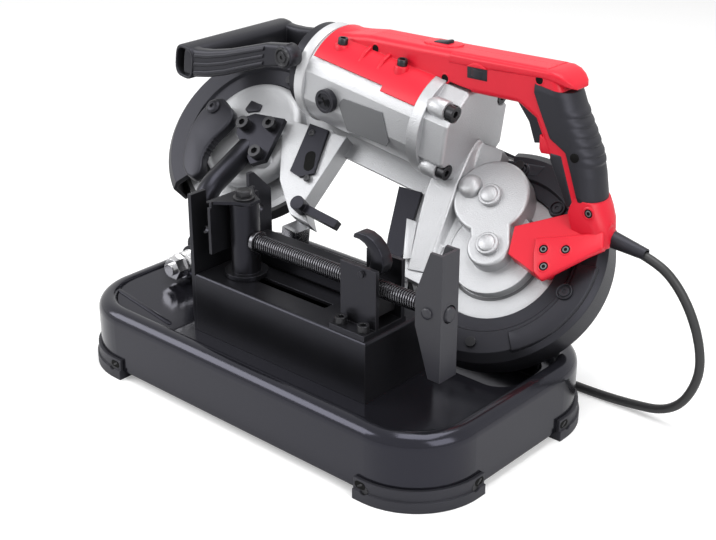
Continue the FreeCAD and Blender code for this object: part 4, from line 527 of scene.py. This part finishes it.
# Shell screws: sunk black screws in round recesses, each with a thin raised lip of the red moulding.
lips = bmesh.new()
# Each screw and its recess are one flat black disc: the screw's own black and painted shade of the recess.
wells = bmesh.new()
for x, z in ((-170.7, 131.5), (-90, 131), (4.3, 162.5)):
    spot = saw_side @ shifted(x, z, near_wall)
    lathe(lips, ((3.7, -0.5), (3.7, 0.4), (4.1, 0.55), (4.8, 0.35), (5.3, -0.3)), spot, 36)
    lathe(wells, ((0, 0.06), (1.7, 0.06), (1.7, 0.2), (3.2, 0.2), (3.8, 0.1), (3.8, -0.5)), spot, 36)
raise_piece("shell_screw_lips", lips, red_shell, "saw")
raise_piece("shell_screws_and_recess_shade", wells, shadow_black, "saw")

# Speed dial's window: black frame in the handle's side, under a low brow of the red moulding.
window_half = 10.5
brow_half = 11
brow_steps = 12
tilted = saw_side @ shifted(-57.5, 146.5, near_wall) @ rotated(9.5, "Z")
window = bmesh.new()
slab(window, ((-window_half, -5), (window_half, -5), (window_half, 5), (-window_half, 5)),
     -0.5, 0.5, tilted, 0.4)
raise_piece("dial_window", window, nylon, "saw")
brow_line = []
for k in range(brow_steps + 1):
    brow_line.append((-brow_half + 2 * brow_half * k / brow_steps,
                      5.2 + 4.2 * math.sin(math.pi * k / brow_steps)))
brow = bmesh.new()
slab(brow, brow_line, -1, 1.6, tilted, 0.8, 3)
raise_piece("dial_brow", brow, red_shell, "saw")

# Handle's lid: red moulding of the upper half, a little proud of the side, skinned over soft squares.
# It rounds off over the grip. Each step is a place along the saw, a half width and a top.


def soft_square(count, power, start=0.5):
    """Unit outline between a circle and a square, as width and height of each point."""
    points = []
    for k in range(count):
        turn = 2 * math.pi * (k + start) / count
        points.append((math.copysign(abs(math.cos(turn)) ** power, math.cos(turn)),
                       math.copysign(abs(math.sin(turn)) ** power, math.sin(turn))))
    return points


lid_steps = ((-88, 18.6, 156.0), (-60, 19, 160.7), (-20, 19, 167.6), (6, 19, 172.0), (14, 18.6, 173.4),
             (21, 17.6, 172.6), (27, 15.6, 170.2), (32, 12.4, 167.0), (35, 8.4, 163.6))
lid_bend = 8
lid = bmesh.new()
lid_hoops = []
for x, half, top in lid_steps:
    low = 139.8 + 0.206 * (x + 108) if x < lid_bend else 163.7 - 0.07 * (x - lid_bend)
    lid_hoops.append(hoop(lid, [(x, middle_y + half * wide, (low + top) / 2 + (top - low) / 2 * tall)
                                for wide, tall in soft_square(32, 0.45)]))
skin(lid, lid_hoops)
bmesh.ops.transform(lid, matrix=saw, verts=lid.verts)
raise_piece("handle_lid", lid, red_shell, "saw", 50)

# Trigger's nub: red moulding that closes the finger side of the handle under the trigger.
nub = bmesh.new()
slab(nub, ((13.5, 117), (15.3, 105), (18, 101.4), (28.4, 104), (30, 111), (22, 114)), -47.4, -12.4,
     saw_side, 0.9, 3)
raise_piece("trigger_nub", nub, red_shell, "saw")

# Lock button: black wedge on a red moulded pad of the handle's top, pressed down to lock the trigger.
lock_seat = saw @ shifted(-111, 32, 152.2) @ rotated(-9.8, "Y")
seat = bmesh.new()
slab(seat, oblong(0, 0, 40, 20), -1.5, 0.9, lock_seat, 0.7, 3)
raise_piece("lock_pad", seat, red_shell, "saw")
wedge_half = 4.4
wedge = bmesh.new()
slab(wedge, ((-8, -3), (8, -3), (8, 3.4), (6, 3.7), (0, 2.2), (-8, 1.6)), -wedge_half, wedge_half,
     lock_seat @ rotated(90, "X"), 0.5)
button = raise_piece("lock_wedge", wedge, nylon, "lock_rocker")
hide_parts("lock_rocker")

# Grip: soft black sleeve round the handle's back, half round behind, with six finger ridges.
# Each row of the line is a height with the sleeve's left and right edge there.
# A pad of the same rubber lies on the finger side.
soft_black = finish("grip_rubber", (0.012, 0.012, 0.014), gloss=0.44, grain_scale=1500.0,
                    grain_depth=0.10, edge_round=0.001, specular_ior_level=0.38,
                    specular_tint=faint_cool_sheen)
dress(soft_black, "grip_skin", "strain_relief", "cord", "cord_coil")
sleeve_line = ((158, 1, 34), (151, 2.2, 38), (139, 10, 45.5), (125, 20, 56), (118, 25, 60.5),
               (111.5, 42, 65), (96, 50.5, 71.5), (74, 62, 78.5))
grip_top = 158
grip_rows = 84
ridge_low = 104
ridge_high = 146
ridge_pitch = 7
ridge_height = 2.0
back_radius = 14.5
back_steps = 12
sleeve = bmesh.new()
hoops = []
for step in range(grip_rows + 1):
    height = grip_top - step
    for (top, left_a, right_a), (low, left_b, right_b) in zip(sleeve_line, sleeve_line[1:]):
        if top >= height >= low:
            share = (top - height) / (top - low)
            left = left_a + share * (left_b - left_a)
            right = right_a + share * (right_b - right_a)
    ridge = 0.0
    if ridge_low < height < ridge_high:
        ridge = ridge_height * abs(math.sin(math.pi * (height - ridge_low) / ridge_pitch))
    bulge = 0.4 + 0.9 * min(1.0, step / 4, (grip_rows - step) / 4)
    half = shell_half + bulge
    points = [(left, middle_y - half, height)]
    for k in range(back_steps + 1):
        turn = -math.pi / 2 + math.pi * k / back_steps
        out = back_radius + ridge * max(0.0, math.cos(turn * 0.8))
        points.append((right - 16 + out * math.cos(turn), middle_y + half * math.sin(turn), height))
    points.append((left, middle_y + half, height))
    hoops.append(hoop(sleeve, points))
skin(sleeve, hoops)
bmesh.ops.transform(sleeve, matrix=saw, verts=sleeve.verts)
grip = raise_piece("grip_sleeve", sleeve, soft_black, "saw", 50)
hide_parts("grip_skin")
pad = bmesh.new()
slab(pad, ((27.4, 105.5), (37.9, 106.8), (58, 68.9), (52.4, 65.2), (36.2, 88.2), (27.8, 100.4)),
     -48.5, -11.5, saw_side, 0.8, 3)
raise_piece("finger_pad", pad, soft_black, "saw")
# A small hole in the sleeve is a flat black disc of painted shade.
grip_hole_shade = bmesh.new()
lathe(grip_hole_shade, ((0, 0.3), (3.6, 0.3), (4.0, 0.1), (4.0, -1.2)), saw_side @ shifted(51, 110.2, -10.8), 32)
raise_piece("grip_hole_shade", grip_hole_shade, shadow_black, "saw")

# Neck of the handle: red moulding that swells from the grip's foot into the bracket.
# Each row is a height with the neck's left, right, front and back there.
neck_rows = ((76, 58, 78, 12, 48), (70, 56, 82, 11.5, 48), (62, 55, 88, 11, 45),
             (54, 58, 92, 11.5, 41), (46, 62, 94, 12.5, 37), (40, 66, 93, 14, 34))
neck_radius = 12
neck_steps = 8
neck = bmesh.new()
hoops = []
for height, left, right, front, back in neck_rows:
    points = [(left, front, height)]
    for k in range(neck_steps + 1):
        turn = -math.pi / 2 + math.pi * k / neck_steps
        points.append((right - neck_radius + neck_radius * math.cos(turn),
                       (front + back) / 2 + (back - front) / 2 * math.sin(turn), height))
    points.append((left, back, height))
    hoops.append(hoop(neck, points))
skin(neck, hoops)
bmesh.ops.transform(neck, matrix=saw, verts=neck.verts)
raise_piece("handle_neck", neck, red_shell, "saw", 50)

# Bracket's screws: four sunk cap screws, three on a raised red face and one in the neck.
# Each sits in a round recess with a lip and shows a grey rim round its socket.
face_level = 28.5
face = bmesh.new()
slab(face, ((38, 22), (44, 9), (53.5, -5.5), (63.5, -8.8), (96, 39), (88.6, 51.5), (61, 35)),
     23, face_level, wheel_face, 1.6, 3)
spots = [wheel_face @ shifted(a, w, face_level) for a, w in ((50.6, 16.1), (59.2, 2.8), (68.1, 24))]
spots.append(saw_side @ shifted(74.2, 68.7, -11.2))
lips = bmesh.new()
# Each flat black disc is painted shade of the socket and the recess, with the screw head's own dark edge.
sunk = bmesh.new()
rims = bmesh.new()
for spot in spots:
    lathe(lips, ((3.9, -0.4), (3.9, 0.3), (4.4, 0.6), (5.2, 0.4), (6.0, -0.4)), spot, 36)
    lathe(sunk, ((0, 0.06), (1.5, 0.06), (1.5, 0.2), (3.1, 0.2), (3.3, 0.08), (4.0, 0.08), (4.0, -0.4)),
          spot, 36)
    lathe(rims, ((1.6, 0.1), (1.6, 0.34), (2.5, 0.34), (2.8, 0.1)), spot, 30)
raise_piece("bracket_face", face, red_shell, "saw")
raise_piece("bracket_screw_lips", lips, red_shell, "saw")
raise_piece("bracket_screws_and_recess_shade", sunk, shadow_black, "saw")
raise_piece("bracket_screw_rims", rims, plate_grey, "saw")

# Front handle: black moulding, a hollow bar with an open oval end, on two curved arms.
# The arms meet a yoke round the motor's end. The near arm has three long ribs and a screw in its boss.
# Arm rows are a place, a height and a thickness.
bar_x = -363.5
bar_z = 65.5
bar_half_width = 12.5
bar_half_height = 16.5
loop = bmesh.new()
bar_hoops = []
for y, size in ((2, 0.74), (-40.6, 0.80), (-41.6, 0.82), (-42, 0.85), (-42, 0.95), (-41.5, 0.985),
                (-40.4, 1.0), (95, 1.0), (99.5, 0.95), (102, 0.80)):
    bar_hoops.append(hoop(loop, [(bar_x + bar_half_width * size * wide, y,
                                  bar_z + bar_half_height * size * tall)
                                 for wide, tall in soft_square(40, 0.62, 0)]))
skin(loop, bar_hoops)
near_arm = ((-364, -33.5, 66, 29, 15), (-350, -33.6, 67.5, 29, 14), (-334, -32.6, 72, 28, 13),
            (-313, -30.8, 80, 26.6, 12), (-290, -28, 91, 25, 12), (-268, -24.6, 101.4, 23.6, 12.5),
            (-246, -21, 107.5, 22, 14))
far_arm = [(x, 61 - y, z - 0.08 * (x + 364), tall, thick) for x, y, z, tall, thick in near_arm]
for arm in (near_arm, far_arm):
    arm_hoops = []
    for x, y, z, high, thick in arm:
        arm_hoops.append(hoop(loop, [(x, y + thick / 2 * wide, z + high / 2 * tall)
                                     for wide, tall in soft_square(24, 0.5)]))
    skin(loop, arm_hoops)
bmesh.ops.transform(loop, matrix=saw, verts=loop.verts)
yoke_x = -246
boss_width = 15
for y, z in ((-28.5, 106.5), (74.5, 97)):
    lathe(loop, ((0, 0), (10.4, 0), (11, 0.6), (11, 14.4), (10.4, boss_width), (0, boss_width)),
          saw @ shifted(yoke_x, y + boss_width, z) @ rotated(90, "X"))
motor_z = 83
motor_line = saw @ shifted(0, middle_y, motor_z) @ rotated(90, "Y")
yoke = bmesh.new()
lathe(yoke, ((41.2, -251.6), (43.4, -251.6), (44.2, -250.8), (44.2, -241.4), (43.4, -240.6),
             (41.2, -240.6), (41.2, -251.6)), motor_line, 96)
bmesh.ops.bisect_plane(yoke, geom=yoke.verts[:] + yoke.edges[:] + yoke.faces[:],
                       plane_co=saw @ Vector((yoke_x, middle_y, 96.5)),
                       plane_no=(saw.to_3x3() @ Vector((0, 0, -1))).normalized(), clear_outer=True)
bmesh.ops.holes_fill(yoke, edges=yoke.edges, sides=0)
raise_piece("front_handle_yoke", yoke, nylon, "saw")
carried = raise_piece("front_handle_loop", loop, nylon, "saw", 55)
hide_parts("front_handle")
rib_line = ((1.5, -2.2), (-0.5, -2.0), (-1.3, -0.9), (-1.3, 0.9), (-0.5, 2.0), (1.5, 2.2))
ribs = bmesh.new()
for share in (-0.3, 0.0, 0.3):
    rib_hoops = []
    for x, y, z, high, thick in near_arm[1:-1]:
        rib_hoops.append(hoop(ribs, [(x, y - thick / 2 + out, z + share * high + up)
                                     for out, up in rib_line]))
    skin(ribs, rib_hoops)
bmesh.ops.transform(ribs, matrix=saw, verts=ribs.verts)
raise_piece("front_handle_ribs", ribs, nylon, "saw", 60)
eye = bmesh.new()
lathe(eye, ((0, 0.2), (2.2, 0.2), (2.2, 1.4), (4.6, 1.4), (5.0, 1.0), (5.0, 0.4), (6.2, 0.4),
            (7.4, 1.6), (8.6, 1.6), (9.6, 0)), saw_side @ shifted(yoke_x, 106.5, 28.6), 40)
raise_piece("front_handle_screw", eye, dark_steel, "saw")

# Motor's end band: bright turned ring in satin grey at the left end of the housing.
# It is cut off where the casting carries it.
band = bmesh.new()
lathe(band, ((40, -240.2), (46.6, -240.2), (47.4, -239.4), (47.6, -230.4), (47.0, -229.4),
             (46.0, -229.2), (40, -229.2)), motor_line, 96)
bmesh.ops.bisect_plane(band, geom=band.verts[:] + band.edges[:] + band.faces[:],
                       plane_co=wheel_face @ Vector((0, 0, -3)),
                       plane_no=(wheel_face.to_3x3() @ Vector((0, 0, -1))).normalized(),
                       clear_outer=True)
raise_piece("motor_end_band", band, light_grey, "saw")

# Right leg's web: raised cast face that runs down the leg from the gear head, in the silver paint.
# Its side falls off to the disc. Each row is the left edge, the ridge, the face's level, and the
# foot of the slope with its level.
web_rows = ((-76, 68, -60, 81, 29, -38, 82, 24),
            (-80, 60, -61, 74, 30, -36, 74, 22),
            (-84, 46, -60, 62, 29, -37, 62, 19),
            (-83, 32, -58, 48, 28, -41, 48, 13),
            (-80.7, 16.7, -56.4, 34, 26, -41.3, 28, 10),
            (-75, -4, -52.5, 13, 22, -40.4, 7, 9),
            (-68, -27, -47.5, -16, 16.5, -39, -16, 9),
            (-62, -49.5, -42.6, -44.6, 10.5, -42, -46, 9))
web_floor = 7
web = bmesh.new()
web_hoops = []
for left_a, left_w, ridge_a, ridge_w, face_n, base_a, base_w, base_n in web_rows:
    web_hoops.append(hoop(web, ((left_a - 1, left_w, web_floor),
                                (left_a, left_w, face_n - 1),
                                (left_a + 1.2, left_w, face_n),
                                (ridge_a - 1.2, ridge_w, face_n),
                                (ridge_a, ridge_w, face_n - 1),
                                (ridge_a + 1.5, ridge_w, base_n + (face_n - base_n) * 0.4),
                                (ridge_a + 4, ridge_w - 1, base_n + 1),
                                (base_a, base_w, base_n - 1),
                                (base_a + 0.5, base_w, web_floor))))
skin(web, web_hoops)
bmesh.ops.transform(web, matrix=wheel_face, verts=web.verts)
raise_piece("right_leg_web", web, silver_paint, "saw", 30)

# Gear cover's bosses: bevelled plugs pressed into the two bearing seats, in the silver paint.
# A groove runs round the cover's lower ring, drawn as a low raised ring in darker grey: painted shade of the
# groove.
plugs = bmesh.new()
for a, w in ((0, 0), (-24, 40)):
    lathe(plugs, ((0, 2.4), (5.6, 2.2), (7.4, 1.2), (8.0, 0.1), (9.6, 0.1), (10.4, -0.6),
                  (10.4, -3.6), (0, -3.6)), wheel_face @ shifted(a, w, 26), 44)
raise_piece("gear_cover_plugs", plugs, silver_paint, "saw", 30)
groove = bmesh.new()
lathe(groove, ((40.6, -0.4), (40.6, 0.25), (42.0, 0.1), (43.4, 0.25), (43.4, -0.4)), wheel_face, 120)
raise_piece("disc_groove_shade", groove, plate_grey, "saw")

# Work stop's strip: plain silver plate on the black stop, without marks.
strip = bmesh.new()
slab(strip, ((-89.5, -9.4), (-78, -8), (-63, -40.5), (-69, -44.6)), 12.6, 13.8, wheel_face, 0.3)
raise_piece("stop_strip", strip, silver_paint, "saw")

# Idler's adjuster: black nylon block in the dome's slot above the arm.
block = bmesh.new()
slab(block, ((-319, 27), (-304, 27.5), (-302.5, 20.5), (-314, 14), (-319.5, 16)), 8, 14, wheel_face, 1.2, 3)
raise_piece("idler_adjuster", block, nylon, "saw")

# Gear head's lugs: round cast ears in the silver paint that carry the three cap bolts.
lugs = bmesh.new()
for y, z in ((-4, 55), (-4, 111), (64, 111)):
    lathe(lugs, ((0, -96), (3, -96), (8.4, -86), (9.0, -84), (9.0, -70.6), (8.6, -70.1), (0, -70.1)),
          saw @ shifted(0, y, z) @ rotated(90, "Y"), 40)
raise_piece("gear_head_lugs", lugs, silver_paint, "saw")

# Drive guard's panel: nylon moulding of the guard that stands proud below the bracket.
# A socket screw in a raised ring holds it.
panel_top = 8.8
panel_inner = 77.5
panel_outer = 96
arc = [math.radians(-47 + 4 * k) for k in range(17)]
panel_line = [(panel_outer * math.cos(turn), panel_outer * math.sin(turn)) for turn in arc]
panel_line += [(panel_inner * math.cos(turn), panel_inner * math.sin(turn)) for turn in reversed(arc)]
panel = bmesh.new()
slab(panel, panel_line, 2.5, panel_top, wheel_face, 1.8, 3)
raise_piece("drive_guard_panel", panel, nylon, "saw")
socket_screw = bmesh.new()
lathe(socket_screw, ((0, 0.6), (2.2, 0.6), (2.2, 1.6), (4.2, 1.6), (4.6, 0.6), (5.2, 0.6),
                     (6.2, 2.2), (7.0, 2.0), (7.6, -0.6)), wheel_face @ shifted(78.6, -4.3, panel_top), 36)
raise_piece("drive_guard_screw", socket_screw, nylon, "saw")

# Guard's shoulder: black moulding that closes the guard against the gear head.
# Two screw bosses stand beside it.
shoulder = bmesh.new()
slab(shoulder, ((-47, 79), (-29, 83.5), (-2, 90), (-4, 78), (-21, 71), (-44, 70)), 1, 6.4, wheel_face, 1.4, 3)
for a, w, n in ((-21, 77, 6), (28.2, 60, 3)):
    lathe(shoulder, ((0, 0.8), (2.2, 0.8), (2.2, 1.6), (4.2, 1.6), (4.6, 0.6), (5.2, 0.6),
                     (6.2, 2.0), (7.2, 1.8), (8.2, -1)), wheel_face @ shifted(a, w, n), 36)
raise_piece("guard_shoulder", shoulder, nylon, "saw")

# Throat plate: long hole and two countersunk screws in the black plate on the left leg.
plate_level = 18
# The long hole is a flat black oval of painted shade.
oval = bmesh.new()
slab(oval, oblong(0, 0, 21, 11), -0.4, 0.15,
     wheel_face @ shifted(-213, -3, plate_level) @ rotated(118, "Z"))
raise_piece("throat_hole_shade", oval, shadow_black, "saw")
pair = bmesh.new()
for a, w in ((-229.3, 22.5), (-204.5, -19)):
    lathe(pair, ((0, 0.3), (1.4, 0.3), (1.4, 0.9), (2.9, 0.9), (3.6, 0.2), (3.6, -0.5)),
          wheel_face @ shifted(a, w, plate_level), 30)
raise_piece("throat_screws", pair, dark_steel, "saw")

# Tension lever: curved black moulding with rounded edges, turning on a cap screw.
# Grip ribs stand along its inner edge.
lever_line = ((-345, 10), (-349.5, 0), (-351.5, -13), (-350.5, -27), (-346, -42), (-339, -56),
              (-330, -67), (-320, -72.5), (-311.5, -72.5), (-307.5, -66), (-309.5, -58), (-315, -50),
              (-318, -40), (-317.5, -29), (-314, -18), (-311.5, -7), (-313, 2), (-319, 7),
              (-327, 8.5), (-336, 12.5))
lever_form = bmesh.new()
slab(lever_form, lever_line, 18.2, 30.5, wheel_face, 2.6, 4)
swung = raise_piece("tension_handle", lever_form, nylon, "tension_lever", 50)
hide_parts("tension_lever")
rib_count = 9
rib_pitch = 4.4
grip_ribs = bmesh.new()
for k in range(rib_count):
    edge_a = -318.4 + 0.16 * (k - rib_count // 2) ** 2 + 0.2
    slab(grip_ribs, oblong(0, 0, 10, 1.8, 4), 0, 1.2,
         wheel_face @ shifted(edge_a, -52 + rib_pitch * k, 24.4) @ rotated(90, "Y"), 0.4)
raise_piece("tension_ribs", grip_ribs, nylon, "tension_lever")
stud = bmesh.new()
lathe(stud, ((0, 2.6), (2.4, 2.6), (2.4, 4.4), (5.4, 4.4), (6.0, 3.9), (7.3, 2.8), (7.4, -0.6)),
      wheel_face @ shifted(-340, 0, 29.3), 40)
raise_piece("tension_screw", stud, nylon, "saw")

# Cord: rubber mains lead of 8 mm, 1.88 m long, out of the tapered relief and down to the bench.
# There it lies in a flat coil of two layers, wound in half turns, with the plug at its end.
lead_line = bpy.data.curves.new("mains_lead", "CURVE")
lead_line.dimensions = "3D"
lead_line.bevel_depth = 0.004
lead_line.bevel_resolution = 5
lead_line.resolution_u = 10
lower = 0.004
upper = 0.014
coil_x = -0.040
coil_y = 0.181
route = [(0.20553, 0.127, 0.15853), (0.24712, 0.127, 0.15268), (0.274, 0.128, 0.132),
         (0.292, 0.132, 0.094), (0.296, 0.135, 0.054), (0.274, 0.137, 0.013), (0.224, 0.138, 0.0042),
         (0.172, 0.135, lower), (0.126, 0.137, lower), (0.086, 0.135, lower), (-0.020, 0.129, lower)]
crossings = [-0.052, 0.047, -0.042, 0.037, -0.032, 0.027, -0.027, 0.032, -0.037, 0.042, -0.047, 0.052]
climbing = 5
points_each = 8
swell = 1 / math.cos(math.pi / (2 * points_each))
for number, (start, end) in enumerate(zip(crossings, crossings[1:])):
    low = lower if number <= climbing else upper
    high = lower if number < climbing else upper
    middle = (start + end) / 2
    reach = abs(end - start) / 2
    for k in range(points_each):
        share = (k + 0.5) / points_each
        turn = math.pi * share
        route.append((coil_x + math.copysign(reach, start) * swell * math.sin(turn),
                      coil_y + middle + (start - middle) * swell * math.cos(turn),
                      low + share * (high - low)))
route += [(-0.036, 0.233, upper), (-0.018, 0.233, upper), (0.006, 0.233, upper)]
path = lead_line.splines.new("NURBS")
path.points.add(len(route) - 1)
for point, spot in zip(path.points, route):
    point.co = (*spot, 1.0)
path.order_u = 3
path.use_endpoint_u = True
mains = bpy.data.objects.new("mains_lead", lead_line)
scene.collection.objects.link(mains)
cord_rubber = finish("cord_rubber", (0.016, 0.016, 0.017), gloss=0.45, grain_scale=1500.0, grain_depth=0.08)
lead_line.materials.append(cord_rubber)
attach(mains, "saw")
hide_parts("cord", "cord_coil")
